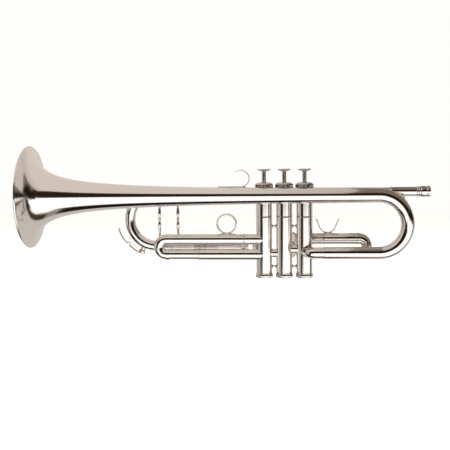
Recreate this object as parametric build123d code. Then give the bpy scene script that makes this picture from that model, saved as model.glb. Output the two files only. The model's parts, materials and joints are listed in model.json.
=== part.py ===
"""Three-valve trumpet, modelled piece by piece in millimetres.

+X is the way the mouthpiece leaves, so the bell opens towards -X. +Z is up, towards the finger buttons,
and the bell side of the valves faces -Y. The pieces are drawn about the plane of the valves, Y = 0, and the
last step moves them all, so that the origin is the centre of the mouthpiece receiver's mouth.
"""
from build123d import *
import os
from math import cos, sin, sqrt, radians

# ---------------------------------------------------------------- driving dimensions
BORE_R = 5.7                      # the bore of every slide tube
TUBE_WALL = 0.4
INNER_R = BORE_R + TUBE_WALL      # outside of an inner slide tube
SLIDE_GAP = 0.04                  # radial running clearance of a slide
SLEEVE_BORE_R = INNER_R + SLIDE_GAP
SLEEVE_R = SLEEVE_BORE_R + 0.41   # outside of an outer slide tube
CROOK_R = 6.3                     # outside of a bent crook
END_RING_R = SLEEVE_R + 0.65      # bead round the open end of a sleeve
END_RING_LENGTH = 1.8

VALVE_SPACING = 24.0
VALVE_X = [-155.7 - VALVE_SPACING * i for i in range(3)]   # first, second and third valve
VALVE_NAMES = ["1", "2", "3"]
VALVE_TRAVEL = 12.2
FIT_GAP = 0.05                    # radial clearance of a piston, a stem or a hinge pin

BELL_Y, BELL_Z = -19.5, -3.0
BELL_RIM_X = -480.5
BELL_RIM_R = 59.7
BELL_JOINT_X = -400.0             # where the flare is brazed to the stem
BELL_FLARE = 8.0                  # length scale of the flare
BELL_POWER = 0.55                 # how fast the flare closes
BELL_TAIL_GAIN = 0.9              # extra radius of the tube where the flare has died out
BELL_WALL = 0.6
RIM_BEAD_R = 1.2
RIM_BEAD_INSET = 0.5              # how far the bead's wire sits inside the rim

BOW_X = -71.0                     # where the bell bow starts and ends
BOW_TOP_R, BOW_LOW_R = 7.7, 6.6   # outside of the tube at the two ends of the bell bow
TAIL_Z = -70.0
TAIL_JOINT_X = -134.0
TAIL_KNUCKLE_R = 9.0

LEAD_Y = 18.0                     # plane of the leadpipe and the main tuning slide
LEAD_THIN_R, LEAD_THICK_R = 5.0, 6.1
LEAD_WALL = 0.45
LEAD_START_X, LEAD_END_X = -28.0, -232.0
LEAD_BAND_X, LEAD_BAND_R = (-240.0, -226.0), SLEEVE_R + 0.6   # the ferrule at the end of the leadpipe
TAIL_BAND = 4.0
RECEIVER_BACK_X = -53.0
MOUTH_X = -5.3                    # the receiver's open end
RECEIVER_R = 5.6
RECEIVER_MOUTH_R = 5.4            # bore at the mouth, over a short straight land
RECEIVER_LAND = 4.0
RECEIVER_THROAT_R = 4.85
REAR_BRACE_X = -37.4
FRONT_BRACE_X, FRONT_BRACE_Z = -233.0, -1.5
STAY_R = 1.7
HOOK_FOOT_X, HOOK_X = -260.0, -232.0   # the hook's foot starts, and its curl is centred
HOOK_R, HOOK_SWEEP = 10.0, 220.0

TUNING_LOW_Z = -65.0
TUNING_BOW_X = -336.4             # centre of the tuning bow
TUNING_FERRULE = (-329.0, -318.0)
TUNING_SLEEVE_END_X = -317.5
TUNING_LOWER_END_X = -228.0       # where the lower sleeve turns towards the third valve
SLEEVE_STAY_X, BOW_STAY_X = -309.7, -332.4

SLIDE_UP_Z, SLIDE_LOW_Z = -55.5, -73.5     # the two legs of each valve slide
SLIDE_MID_Z = (SLIDE_UP_Z + SLIDE_LOW_Z) / 2
SLIDE_BOW_R = (SLIDE_UP_Z - SLIDE_LOW_Z) / 2
THIRD_Y = -3.0
FIRST_Y = 7.0
THIRD_BOW_X = -321.4
FIRST_BOW_X = -90.5
THIRD_MOVING_END_X = -227.0       # open end of the third slide's moving sleeve
THIRD_FIXED_MOUTH_X = -282.5
THIRD_INNER_END_X, THIRD_LEG_END_X = -300.0, -224.0
THIRD_FERRULE_X = -226.6
STOP_ROD_X, STOP_ROD_R = (-290.0, -216.0), 1.0
STOP_NUT_X, STOP_NUT_R = (-288.5, -272.0), 1.75
LOCK_NUT_X, LOCK_NUT_R = (-271.6, -259.0), 1.6
STOP_BLOCK_X = -220.0
EYELET_X, EYELET_R = (-230.0, -227.6), 1.9
FINGER_RING_X, FINGER_RING_R, FINGER_WIRE_R = -248.4, 11.3, 1.1
FIRST_MOVING_MOUTH_X = -133.5
FIRST_UPPER_KNUCKLE_X, FIRST_LOWER_KNUCKLE_X = -134.0, -136.0
FIRST_INNER_END_X, FIRST_LEG_END_X = -100.0, -135.5
FIRST_FIXED_MOUTH_X = -104.0
SADDLE_X = -128.0
SECOND_LEG_START, SECOND_MOUTH, SECOND_REACH = 11.0, 24.0, 28.0   # from the valve's axis
SECOND_TURN = 21.0                # the second slide leaves its valve this far round from +Y
KNUCKLE_R = 14.0                  # bend radius of the slides' elbows at the valves
FIRST_TURN, THIRD_TURN, TAIL_TURN = 40.0, 50.0, 75.0   # how far each elbow bends

CASING_R = 9.6
PISTON_R = 8.4
CASING_BORE_R = PISTON_R + FIT_GAP
SPRING_CHAMBER_R = 8.9
CASING_JOINT_Z = -29.6
CASING_LOW_Z, CASING_TOP_Z = -99.5, 10.4
TOP_CAP_R = 10.7
TOP_CAP_Z = (3.4, 12.4)
FELT_R, FELT_DEPTH = 5.2, 0.8     # the felt let into the top cap
BOTTOM_CAP_R = 10.5
BOTTOM_CAP_Z = (-102.4, -95.8)
CAP_FIT_R = CASING_R + 0.02
SPACER_Z, SPACER_R = (-39.8, -88.2), 1.6
CROSSOVER_R, CROSSOVER_BORE_R = 5.2, 4.7
CROSSOVER_32_Z, CROSSOVER_21_Z = -72.2, -67.4
PORT_R, SLANTED_PORT_R = BORE_R - 0.2, BORE_R - 0.6
PORT_REACH = 15.0

PISTON_Z = (-86.0, -37.0)
BARREL_R, BARREL_BORE_R = 7.6, 6.9
BARREL_TOP_Z = 5.0
STEM_R, STEM_CAP_R, STEM_CAP_HEIGHT = 2.6, 7.4, 1.6
STEM_HOLE_R = 2.95
GUIDE_HEIGHT = 2.0
BUTTON_Z = (25.1, 28.4)
BUTTON_R, PEARL_R = 8.25, 6.8
SPRING_R, SPRING_WIRE_R = 6.1, 0.45
SPRING_TURNS = 9


# ---------------------------------------------------------------- helpers
def post(x, y, low, high, radius):
    """A solid cylinder standing along Z."""
    return Pos(x, y, low) * Cylinder(radius, high - low, align=(Align.CENTER, Align.CENTER, Align.MIN))


def rod(start, end, radius):
    """A solid cylinder from one point to another."""
    start, end = Vector(*start), Vector(*end)
    return Solid.make_cylinder(radius, (end - start).length, Plane(origin=start, z_dir=end - start))


def tube(start, end, outer, inner):
    """A straight tube from one point to another."""
    return rod(start, end, outer) - rod(start, end, inner)


def pipe(path, outer, inner=0.0):
    """A round tube, or a round rod where inner is 0, along a path of lines and arcs."""
    section = Circle(outer) - Circle(inner) if inner else Circle(outer)
    return sweep(Plane(origin=path @ 0, z_dir=path % 0) * section, path=path)


def strap(path, width, thickness, normal):
    """A flat strap along a path; its wide way is along normal."""
    start = Plane(origin=path @ 0, x_dir=normal, z_dir=path % 0)
    return sweep(start * Rectangle(width, thickness), path=path)


def lathe(points, x=0.0, y=0.0, z=0.0, axis=Axis.Z):
    """A turned piece. A point is (distance along the axis, radius)."""
    if axis == Axis.Z:
        profile = make_face(Plane.XZ * Polyline(*[(r, a) for a, r in points], close=True))
    else:
        profile = make_face(Plane.XZ * Polyline(*points, close=True))
    return Pos(x, y, z) * revolve(profile, axis)


def half_bow(x, y, top_z, low_z, outer, inner, towards):
    """A half-round crook in an XZ plane, open towards the legs; towards is -1 or +1 along X."""
    radius = (top_z - low_z) / 2
    middle = (top_z + low_z) / 2
    arc = Plane(origin=(x, y, middle), x_dir=(1, 0, 0), z_dir=(0, -1, 0)) * ThreePointArc(
        (0, radius), (towards * radius, 0), (0, -radius))
    return pipe(arc, outer, inner)


def knuckle_path(x, z, leg_y, turn, side, leg_x, radius=KNUCKLE_R):
    """A leg along X that bends towards the axis of a valve at x; side is +1 where the leg is on +X."""
    bend = radians(turn)
    sign = 1 if leg_y > 0 else -1
    reach = (abs(leg_y) - radius * (1 - cos(bend))) / sin(bend)
    end = Vector(x + side * reach * cos(bend), sign * reach * sin(bend), z)
    start = Vector(end.X + side * radius * sin(bend), leg_y, z)
    way = Vector(-side * cos(bend), -sign * sin(bend), 0)
    lines = []
    if abs(start.X - leg_x) > 0.01:
        lines.append(Line((leg_x, leg_y, z), start))
    lines.append(TangentArc(start, end, tangent=(-side, 0, 0)))
    lines.append(Line(end, end + way * (reach - 0.4 * CASING_R)))
    return Wire(lines)


def join_steps(*pieces):
    """Add pieces together one after another."""
    total = pieces[0]
    for piece in pieces[1:]:
        total = total + piece
    return total


def valve_core(index, radius=CASING_R):
    """The whole inside of a valve, to trim what meets its casing."""
    return post(VALVE_X[index], 0, -110, 20, radius)


# ---------------------------------------------------------------- bell
def bell_radius(distance):
    """Outside radius of the bell at a distance from its rim."""
    length = BOW_X - BELL_RIM_X
    flare = BELL_RIM_R * (1 + distance / BELL_FLARE) ** -BELL_POWER
    return flare + BELL_TAIL_GAIN * (distance / length) ** 2


def whole_bell():
    """One thin wall from the rim to the bell bow."""
    length = BOW_X - BELL_RIM_X
    steps = 18
    step = 0.01
    outside, inside = [], []
    for i in range(steps + 1):
        distance = BELL_FLARE * ((1 + length / BELL_FLARE) ** (i / steps) - 1)
        slope = (bell_radius(distance + step) - bell_radius(distance)) / step
        long = sqrt(1 + slope * slope)
        radius = bell_radius(distance)
        inward = BELL_WALL * slope / long if i < steps else 0.0
        outside.append((BELL_RIM_X + distance, radius))
        inside.append((BELL_RIM_X + distance + inward, radius - BELL_WALL / long))
    outer, inner = Spline(*outside), Spline(*inside)
    ends = [Line(inner @ 0, outer @ 0), Line(outer @ 1, inner @ 1)]
    profile = make_face([Plane.XZ * edge for edge in (outer, inner, *ends)])
    return Pos(0, BELL_Y, BELL_Z) * revolve(profile, Axis.X)


def flare_space():
    """A cylinder round everything in front of the joint between flare and stem."""
    return rod((BELL_RIM_X - 10, BELL_Y, BELL_Z), (BELL_JOINT_X, BELL_Y, BELL_Z), BELL_RIM_R + 10)


def bell_flare():
    """The flared part of the bell, from the rim to its brazed joint."""
    return whole_bell() & flare_space()


def bell_stem():
    """The slowly tapering part of the bell, from its brazed joint to the bell bow."""
    return whole_bell() - flare_space()


def bell_rim():
    """The rim is rolled round a wire."""
    wire = Pos(BELL_RIM_X - 0.3, BELL_RIM_R - RIM_BEAD_INSET) * Circle(RIM_BEAD_R)
    return Pos(0, BELL_Y, BELL_Z) * revolve(Plane.XZ * wire, Axis.X) - whole_bell()


def bell_bow():
    """The half-round bend behind the bell tube, a little thinner below, and its straight lower leg."""
    radius = (BELL_Z - TAIL_Z) / 2
    middle = (BELL_Z + TAIL_Z) / 2
    steps = 8
    outside, inside = [], []
    for i in range(steps + 1):
        turn = radians(90 - 180 * i / steps)
        place = Plane(origin=(BOW_X + radius * cos(turn), BELL_Y, middle + radius * sin(turn)),
                      x_dir=(0, 1, 0), z_dir=(sin(turn), 0, -cos(turn)))
        section = BOW_TOP_R + (BOW_LOW_R - BOW_TOP_R) * i / steps
        outside.append(place * Circle(section))
        inside.append(place * Circle(section - BELL_WALL))
    leg = tube((TAIL_JOINT_X, BELL_Y, TAIL_Z), (BOW_X, BELL_Y, TAIL_Z), BOW_LOW_R, BOW_LOW_R - BELL_WALL)
    return (loft(outside) - loft(inside)) + leg


def first_valve_elbow():
    """The ball-shaped elbow that takes the bell bow's leg into the first valve."""
    path = knuckle_path(VALVE_X[0], TAIL_Z, BELL_Y, TAIL_TURN, 1, TAIL_JOINT_X, TAIL_KNUCKLE_R)
    return pipe(path, BOW_LOW_R, BORE_R) - valve_core(0)


def ferrules():
    """Bands over the joints of fixed tubes: at the first valve's elbow and at the end of the leadpipe."""
    tail = tube((TAIL_JOINT_X, BELL_Y, TAIL_Z), (TAIL_JOINT_X + TAIL_BAND, BELL_Y, TAIL_Z),
                BOW_LOW_R + 0.3, BOW_LOW_R)
    start, end = LEAD_BAND_X
    lead = lathe([(start, SLEEVE_R), (start, LEAD_BAND_R), (end, LEAD_BAND_R), (end, LEAD_THICK_R),
                  (LEAD_END_X, LEAD_THICK_R), (LEAD_END_X, SLEEVE_R)], y=LEAD_Y, axis=Axis.X)
    return Compound([tail, lead - leadpipe()])


# ---------------------------------------------------------------- leadpipe and receiver
def leadpipe():
    """The tapered pipe from the receiver to the main tuning slide."""
    back = RECEIVER_BACK_X
    return lathe([(LEAD_START_X, LEAD_THIN_R), (back, LEAD_THIN_R), (LEAD_END_X, LEAD_THICK_R),
                  (LEAD_END_X, LEAD_THICK_R - LEAD_WALL), (back, LEAD_THIN_R - LEAD_WALL),
                  (LEAD_START_X, LEAD_THIN_R - LEAD_WALL)], y=LEAD_Y, axis=Axis.X)


def mouthpiece_receiver():
    """A turned socket with a collar, a ringed neck and a slightly bulged mouth."""
    body, mouth, back = RECEIVER_R, MOUTH_X, RECEIVER_BACK_X
    collar = [(back, LEAD_THIN_R), (back, body + 0.7), (back + 1.8, body + 0.7), (back + 1.8, body)]
    rings = [(mouth - 15.8, body), (mouth - 15.8, body + 0.7), (mouth - 14.6, body + 0.7),
             (mouth - 14.6, body - 0.1), (mouth - 13.4, body - 0.1), (mouth - 13.4, body + 0.7),
             (mouth - 12.2, body + 0.7)]
    bulge = [(mouth - 11.6, body + 0.3), (mouth - 9.0, body + 1.0), (mouth - 6.6, body + 1.0),
             (mouth - 4.6, body + 0.5), (mouth - 4.0, body + 0.5)]
    lip = [(mouth - 3.6, body + 1.0), (mouth - 0.5, body + 1.0), (mouth, body + 0.5)]
    socket = [(mouth, RECEIVER_MOUTH_R), (mouth - RECEIVER_LAND, RECEIVER_MOUTH_R),
              (LEAD_START_X + 0.5, RECEIVER_THROAT_R), (LEAD_START_X + 0.5, LEAD_THIN_R - LEAD_WALL),
              (LEAD_START_X, LEAD_THIN_R - LEAD_WALL), (LEAD_START_X, LEAD_THIN_R)]
    return lathe([*collar, *rings, *bulge, *lip, *socket], y=LEAD_Y, axis=Axis.X)


def rear_brace():
    """A slanted stay from under the receiver to the bell bow, with a foot at each end."""
    foot_r, foot = 3.0, 2.4
    top, low = Vector(REAR_BRACE_X, LEAD_Y - 1.0, -5.0), Vector(REAR_BRACE_X, -15.5, -19.0)
    way = (low - top).normalized()
    stay = join_steps(rod(top, low, STAY_R), rod(top, top + way * foot, foot_r),
                      rod(low - way * foot, low, foot_r))
    bow_fill = half_bow(BOW_X, BELL_Y, BELL_Z, TAIL_Z, BOW_TOP_R, 0.0, 1)
    receiver_fill = rod((RECEIVER_BACK_X, LEAD_Y, 0), (MOUTH_X, LEAD_Y, 0), RECEIVER_R)
    return stay - receiver_fill - bow_fill


def front_brace():
    """A level stay between the bell tube and the leadpipe ferrule, turned with a bead in its middle."""
    x, z = FRONT_BRACE_X, FRONT_BRACE_Z
    near, far = Vector(x, BELL_Y, z), Vector(x, LEAD_Y, z)
    middle = (near + far) / 2
    bead, bead_half, foot_r = 2.8, Vector(0, 1, 0), 3.4
    stay = join_steps(rod(near, far, STAY_R), rod(middle - bead_half, middle + bead_half, bead),
                      rod(far - Vector(0, 8.6, 0), far, foot_r), rod(near, near + Vector(0, 11.4, 0), foot_r))
    half = 10
    bell_fill = Pos(x, BELL_Y, BELL_Z) * Rot(0, -90, 0) * Cone(
        bell_radius(x + half - BELL_RIM_X), bell_radius(x - half - BELL_RIM_X), 2 * half)
    lead_fill = rod((x - half, LEAD_Y, 0), (x + half, LEAD_Y, 0), LEAD_BAND_R)
    return stay - bell_fill - lead_fill


def finger_hook():
    """The little finger's hook, a bent strap soldered along the top of the pipe."""
    width, thickness = 5.0, 1.6
    foot = Line((HOOK_FOOT_X, LEAD_BAND_R), (HOOK_X, LEAD_BAND_R))
    curl = CenterArc((HOOK_X, LEAD_BAND_R + HOOK_R), HOOK_R, -90, HOOK_SWEEP)
    upright = Plane(origin=(0, LEAD_Y, 0), z_dir=(0, -1, 0), x_dir=(1, 0, 0))
    path = Wire([upright * edge for edge in (foot, curl)])
    lead_fill = rod((HOOK_FOOT_X - 20, LEAD_Y, 0), (HOOK_X + 30, LEAD_Y, 0), SLEEVE_R)
    band_fill = rod((LEAD_BAND_X[0], LEAD_Y, 0), (LEAD_BAND_X[1], LEAD_Y, 0), LEAD_BAND_R)
    return strap(path, width, thickness, (0, 1, 0)) - lead_fill - band_fill


# ---------------------------------------------------------------- main tuning slide
def sleeve_with_ring(start, end, ring_at_start=True):
    """An outer slide tube along X with a bead round its open end."""
    shell = tube(start, end, SLEEVE_R, SLEEVE_BORE_R)
    mouth = Vector(*(start if ring_at_start else end))
    inward = (Vector(*(end if ring_at_start else start)) - mouth).normalized()
    return shell + tube(mouth, mouth + inward * END_RING_LENGTH, END_RING_R, SLEEVE_BORE_R)


def tuning_sleeve_upper():
    return sleeve_with_ring((TUNING_SLEEVE_END_X, LEAD_Y, 0), (LEAD_END_X, LEAD_Y, 0))


def tuning_sleeve_lower():
    """The lower outer tube and the elbow that takes it into the third valve."""
    mouth, end = (TUNING_SLEEVE_END_X, LEAD_Y, TUNING_LOW_Z), (TUNING_LOWER_END_X, LEAD_Y, TUNING_LOW_Z)
    straight = sleeve_with_ring(mouth, end)
    path = knuckle_path(VALVE_X[2], TUNING_LOW_Z, LEAD_Y, THIRD_TURN, -1, TUNING_LOWER_END_X)
    return straight + (pipe(path, SLEEVE_R, BORE_R) - valve_core(2))


def turned_post(x, y, low, high):
    """A turned stay with a bead in its middle and flared ends."""
    middle, waist, end_r, bead = (low + high) / 2, 1.2, 2.4, 2.4
    half = [(low, 0), (low, end_r), (low + 2.5, end_r - 0.5), (low + 6, waist), (middle - 9, waist + 0.5),
            (middle - 5, waist), (middle - 2.5, waist + 0.2), (middle - 1.6, bead), (middle, bead + 0.2)]
    other = [(low + high - a, r) for a, r in reversed(half[:-1])]
    return lathe(half + other, x=x, y=y)


def stay_between_tubes(x, tube_r):
    """An upright stay from the upper tube of the tuning slide to the lower one."""
    half = 20
    stay = turned_post(x, LEAD_Y, TUNING_LOW_Z + 3, -3)
    upper = rod((x - half, LEAD_Y, 0), (x + half, LEAD_Y, 0), tube_r)
    lower = rod((x - half, LEAD_Y, TUNING_LOW_Z), (x + half, LEAD_Y, TUNING_LOW_Z), tube_r)
    return stay - upper - lower


def tuning_sleeve_brace():
    return stay_between_tubes(SLEEVE_STAY_X, SLEEVE_R)


def tuning_bow():
    """The half-round crook of the main tuning slide with its two short straight ends."""
    bend = half_bow(TUNING_BOW_X, LEAD_Y, 0, TUNING_LOW_Z, CROOK_R, BORE_R, -1)
    for z in (0, TUNING_LOW_Z):
        bend = bend + tube((TUNING_BOW_X, LEAD_Y, z), (TUNING_FERRULE[0], LEAD_Y, z), CROOK_R, BORE_R)
    return bend


def tuning_slide_ferrules():
    start, end = TUNING_FERRULE
    rings = []
    for z in (0, TUNING_LOW_Z):
        rings.append(lathe([(start, INNER_R), (start, CROOK_R + 0.2), (start + 1.5, SLEEVE_R + 0.3),
                            (end, SLEEVE_R + 0.3), (end, INNER_R)], y=LEAD_Y, z=z, axis=Axis.X))
    return Compound(rings)


def tuning_slide_legs():
    start = TUNING_FERRULE[0]
    ends = {0: LEAD_END_X - 6, TUNING_LOW_Z: TUNING_LOWER_END_X - 2}
    return Compound([tube((start, LEAD_Y, z), (end, LEAD_Y, z), INNER_R, BORE_R) for z, end in ends.items()])


def tuning_bow_brace():
    return stay_between_tubes(BOW_STAY_X, CROOK_R)


# ---------------------------------------------------------------- water key
KEY_TURN = 139.5                  # where the hinge sits round the bow, below -X
KEY_HINGE_R = 45.0                # hinge axis from the bow's centre
PIN_R = 0.9
LUG_SPREAD, LUG_THICKNESS = 3.4, 1.2
HUB_R, HUB_HALF = 2.2, 2.7
CUP_TURN, CUP_R = 115.0, 4.2
TIP_TURN = 167.0
TIP_R = 48.0
NIPPLE_TOP_R = 41.6
NIPPLE_R, NIPPLE_BORE_R = 2.8, 1.7
CORK_R, CORK_HEIGHT = 3.5, 3.0


def on_bow(turn, distance):
    """A point round the tuning bow's centre, in its plane; turn is counted downwards from +X."""
    return (distance * cos(radians(turn)), -distance * sin(radians(turn)))


def bow_point(turn, distance, across=0.0):
    """The same point in space, moved across the plane."""
    along, up = on_bow(turn, distance)
    return Vector(TUNING_BOW_X + along, LEAD_Y + across, TUNING_LOW_Z / 2 + up)


def hinge_rod(start, end, radius):
    """A cylinder along the hinge's axis."""
    return rod(bow_point(KEY_TURN, KEY_HINGE_R, start), bow_point(KEY_TURN, KEY_HINGE_R, end), radius)


def cup_rod(start, end, radius):
    """A cylinder along the axis of the nipple and its cup, counted from the top of the nipple."""
    return rod(bow_point(CUP_TURN, NIPPLE_TOP_R + start), bow_point(CUP_TURN, NIPPLE_TOP_R + end), radius)


def crook_fill():
    return half_bow(TUNING_BOW_X, LEAD_Y, 0, TUNING_LOW_Z, CROOK_R, 0.0, -1)


def water_key_mount():
    """The drain nipple and the two hinge lugs brazed on the tuning bow, with the hinge screw."""
    nipple = cup_rod(-5.6, 0, NIPPLE_R) - cup_rod(-5.6, 0, NIPPLE_BORE_R) - crook_fill()
    outwards = bow_point(KEY_TURN, 1.0) - bow_point(KEY_TURN, 0.0)
    pin = hinge_rod(-4.8, 4.6, PIN_R)
    lugs = []
    for across in (-LUG_SPREAD, LUG_SPREAD):
        plate = Plane(origin=bow_point(KEY_TURN, 41.4, across), x_dir=(0, 1, 0), z_dir=outwards)
        eye = hinge_rod(across - LUG_THICKNESS / 2, across + LUG_THICKNESS / 2, HUB_R + 0.1)
        lugs.append(plate * Box(LUG_THICKNESS, 4.4, 8.0) + eye - crook_fill() - pin)
    head = hinge_rod(-5.0, -4.0, 1.8)
    return Compound([nipple, *lugs, pin + head])


def water_key_lever():
    """A sprung two-armed lever: a finger touch on one side, a cork cup on the other."""
    cup_depth, thickness = 4.6, 1.5
    hub = hinge_rod(-HUB_HALF, HUB_HALF, HUB_R)
    cup = cup_rod(1.0, cup_depth, CUP_R)
    plane = Plane(origin=(TUNING_BOW_X, LEAD_Y, TUNING_LOW_Z / 2), z_dir=(0, -1, 0), x_dir=(1, 0, 0))
    start = on_bow(KEY_TURN, KEY_HINGE_R + 0.9)
    cup_end = on_bow(CUP_TURN, NIPPLE_TOP_R + cup_depth - 0.9)
    arm = ThreePointArc(start, on_bow(127, KEY_HINGE_R + 1.2), cup_end)
    touch = ThreePointArc(start, on_bow(153, KEY_HINGE_R + 2.6), on_bow(TIP_TURN, TIP_R))
    lever = join_steps(hub, cup, strap(Wire([plane * arm]), 4.6, thickness, (0, 1, 0)),
                       strap(Wire([plane * touch]), 5.2, thickness, (0, 1, 0)))
    return lever - hinge_rod(-6, 6, PIN_R + FIT_GAP) - cup_rod(0, CORK_HEIGHT, CORK_R)


def water_key_cork():
    return cup_rod(0.08, CORK_HEIGHT, CORK_R)


# ---------------------------------------------------------------- third slide
def on_third(x, z):
    return (x, THIRD_Y, z)


def third_slide_inner_tube():
    """The fixed inner tube of the upper leg with the ferrule that joins it to the third valve."""
    valve = on_third(VALVE_X[2], SLIDE_UP_Z)
    leg = tube(on_third(THIRD_INNER_END_X, SLIDE_UP_Z), valve, INNER_R, BORE_R)
    ferrule = tube(on_third(THIRD_FERRULE_X, SLIDE_UP_Z), valve, SLEEVE_R, INNER_R)
    return leg + ferrule - valve_core(2)


def third_slide_lower_sleeve():
    mouth, valve = on_third(THIRD_FIXED_MOUTH_X, SLIDE_LOW_Z), on_third(VALVE_X[2], SLIDE_LOW_Z)
    return sleeve_with_ring(mouth, valve) - valve_core(2)


def third_slide_bow():
    """The small crook and the inner tube of the lower leg, brazed together."""
    bend = half_bow(THIRD_BOW_X, THIRD_Y, SLIDE_UP_Z, SLIDE_LOW_Z, CROOK_R, BORE_R, -1)
    start = on_third(THIRD_BOW_X, SLIDE_LOW_Z)
    leg = tube(start, on_third(THIRD_LEG_END_X, SLIDE_LOW_Z), INNER_R, BORE_R)
    band = tube(start, on_third(THIRD_BOW_X + 4, SLIDE_LOW_Z), SLEEVE_R, INNER_R)
    return bend + leg + band


def third_slide_upper_sleeve():
    """The moving outer tube of the upper leg, with the eyelet that rides on the stop rod."""
    start, end = on_third(THIRD_BOW_X, SLIDE_UP_Z), on_third(THIRD_MOVING_END_X, SLIDE_UP_Z)
    shell = sleeve_with_ring(start, end, False)
    low, high = EYELET_X
    eyelet = rod(on_third(low, SLIDE_MID_Z), on_third(high, SLIDE_MID_Z), EYELET_R)
    neck = Pos((low + high) / 2, THIRD_Y, SLIDE_MID_Z + 1.6) * Box(high - low, 2.0, 2.2)
    sleeve_fill = rod(on_third(low - 10, SLIDE_UP_Z), on_third(high + 10, SLIDE_UP_Z), SLEEVE_BORE_R)
    hole = rod(on_third(low - 10, SLIDE_MID_Z), on_third(high + 10, SLIDE_MID_Z), STOP_ROD_R + FIT_GAP)
    return shell + (eyelet + neck - sleeve_fill) - hole


def finger_ring():
    """The ring finger's ring on a small curved foot."""
    foot_length, foot_width, foot_r = 20.0, 5.6, SLEEVE_R + 0.7
    centre_z = SLIDE_UP_Z + SLEEVE_R + FINGER_RING_R + FINGER_WIRE_R - 0.3
    ring = Pos(FINGER_RING_X, THIRD_Y, centre_z) * Rot(90, 0, 0) * Torus(FINGER_RING_R, FINGER_WIRE_R)
    start, end = FINGER_RING_X - foot_length / 2, FINGER_RING_X + foot_length / 2
    foot = rod(on_third(start, SLIDE_UP_Z), on_third(end, SLIDE_UP_Z), foot_r)
    foot = foot & (Pos(FINGER_RING_X, THIRD_Y, SLIDE_UP_Z + SLEEVE_R) * Box(foot_length, foot_width, 4))
    return ring + foot - rod(on_third(start - 5, SLIDE_UP_Z), on_third(end + 5, SLIDE_UP_Z), SLEEVE_R)


def third_slide_stop_rod():
    """A rod fixed by a small block near the third valve; the slide's eyelet runs along it."""
    start, end = STOP_ROD_X
    stop = rod(on_third(start, SLIDE_MID_Z), on_third(end, SLIDE_MID_Z), STOP_ROD_R)
    block = Pos(STOP_BLOCK_X, THIRD_Y, SLIDE_MID_Z) * Box(5.0, 3.4, 8.0)
    for z in (SLIDE_UP_Z, SLIDE_LOW_Z):
        block = block - rod(on_third(STOP_BLOCK_X - 10, z), on_third(STOP_BLOCK_X + 10, z), SLEEVE_R)
    return stop + block


def third_slide_stop_nuts():
    """A thumb nut and a lock nut on the stop rod."""
    nuts = []
    for (start, end), radius in ((STOP_NUT_X, STOP_NUT_R), (LOCK_NUT_X, LOCK_NUT_R)):
        nuts.append(tube(on_third(start, SLIDE_MID_Z), on_third(end, SLIDE_MID_Z), radius, STOP_ROD_R))
    return Compound(nuts)


# ---------------------------------------------------------------- first slide
def on_first(x, z):
    return (x, FIRST_Y, z)


def first_elbow(z, leg_x):
    """An outer tube that bends from the slide's leg into the first valve."""
    path = knuckle_path(VALVE_X[0], z, FIRST_Y, FIRST_TURN, 1, leg_x)
    return pipe(path, SLEEVE_R, BORE_R) - valve_core(0)


def first_slide_inner_tube():
    """The fixed inner tube of the upper leg and its elbow into the first valve."""
    start, end = on_first(FIRST_UPPER_KNUCKLE_X, SLIDE_UP_Z), on_first(FIRST_INNER_END_X, SLIDE_UP_Z)
    return tube(start, end, INNER_R, BORE_R) + first_elbow(SLIDE_UP_Z, FIRST_UPPER_KNUCKLE_X)


def first_slide_lower_sleeve():
    mouth, end = on_first(FIRST_FIXED_MOUTH_X, SLIDE_LOW_Z), on_first(FIRST_LOWER_KNUCKLE_X, SLIDE_LOW_Z)
    return sleeve_with_ring(mouth, end) + first_elbow(SLIDE_LOW_Z, FIRST_LOWER_KNUCKLE_X)


def first_slide_bow():
    """The crook and the inner tube of the lower leg."""
    bend = half_bow(FIRST_BOW_X, FIRST_Y, SLIDE_UP_Z, SLIDE_LOW_Z, CROOK_R, BORE_R, 1)
    start, end = on_first(FIRST_LEG_END_X, SLIDE_LOW_Z), on_first(FIRST_BOW_X, SLIDE_LOW_Z)
    return bend + tube(start, end, INNER_R, BORE_R)


def first_slide_upper_sleeve():
    return sleeve_with_ring(on_first(FIRST_MOVING_MOUTH_X, SLIDE_UP_Z), on_first(FIRST_BOW_X, SLIDE_UP_Z))


def thumb_saddle():
    """The thumb's saddle, a U of bent strap with its lips turned out."""
    width, thickness = 8.0, 1.2
    cup_r, tilt, rise = 10.0, radians(68), 8.0
    low_z = SLIDE_UP_Z + SLEEVE_R
    plane = Plane(origin=on_first(SADDLE_X, low_z), z_dir=(0, -1, 0), x_dir=(1, 0, 0))
    base = thickness / 2
    right = (cup_r * sin(tilt), base + cup_r * (1 - cos(tilt)))
    top = (right[0] + rise * cos(tilt), right[1] + rise * sin(tilt))
    lip = (top[0] + 3.4, top[1] + 2.6)
    edges = [
        TangentArc((-top[0], top[1]), (-lip[0], lip[1]), tangent=(-cos(tilt), sin(tilt))),
        Line((-right[0], right[1]), (-top[0], top[1])),
        ThreePointArc((-right[0], right[1]), (0, base), right),
        Line(right, top),
        TangentArc(top, lip, tangent=(cos(tilt), sin(tilt))),
    ]
    path = Wire([plane * edge for edge in edges])
    start, end = FIRST_MOVING_MOUTH_X - 1.0, SADDLE_X + 7.5
    foot = rod(on_first(start, SLIDE_UP_Z), on_first(end, SLIDE_UP_Z), SLEEVE_R + 0.8)
    foot = foot & (Pos((start + end) / 2, FIRST_Y, low_z) * Box(end - start, 6, 4))
    sleeve_fill = rod(on_first(start - 5, SLIDE_UP_Z), on_first(end + 10, SLIDE_UP_Z), SLEEVE_R)
    ring_fill = rod(on_first(start, SLIDE_UP_Z), on_first(FIRST_MOVING_MOUTH_X + END_RING_LENGTH, SLIDE_UP_Z),
                    END_RING_R)
    return strap(path, width, thickness, (0, 1, 0)) + foot - sleeve_fill - ring_fill


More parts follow.
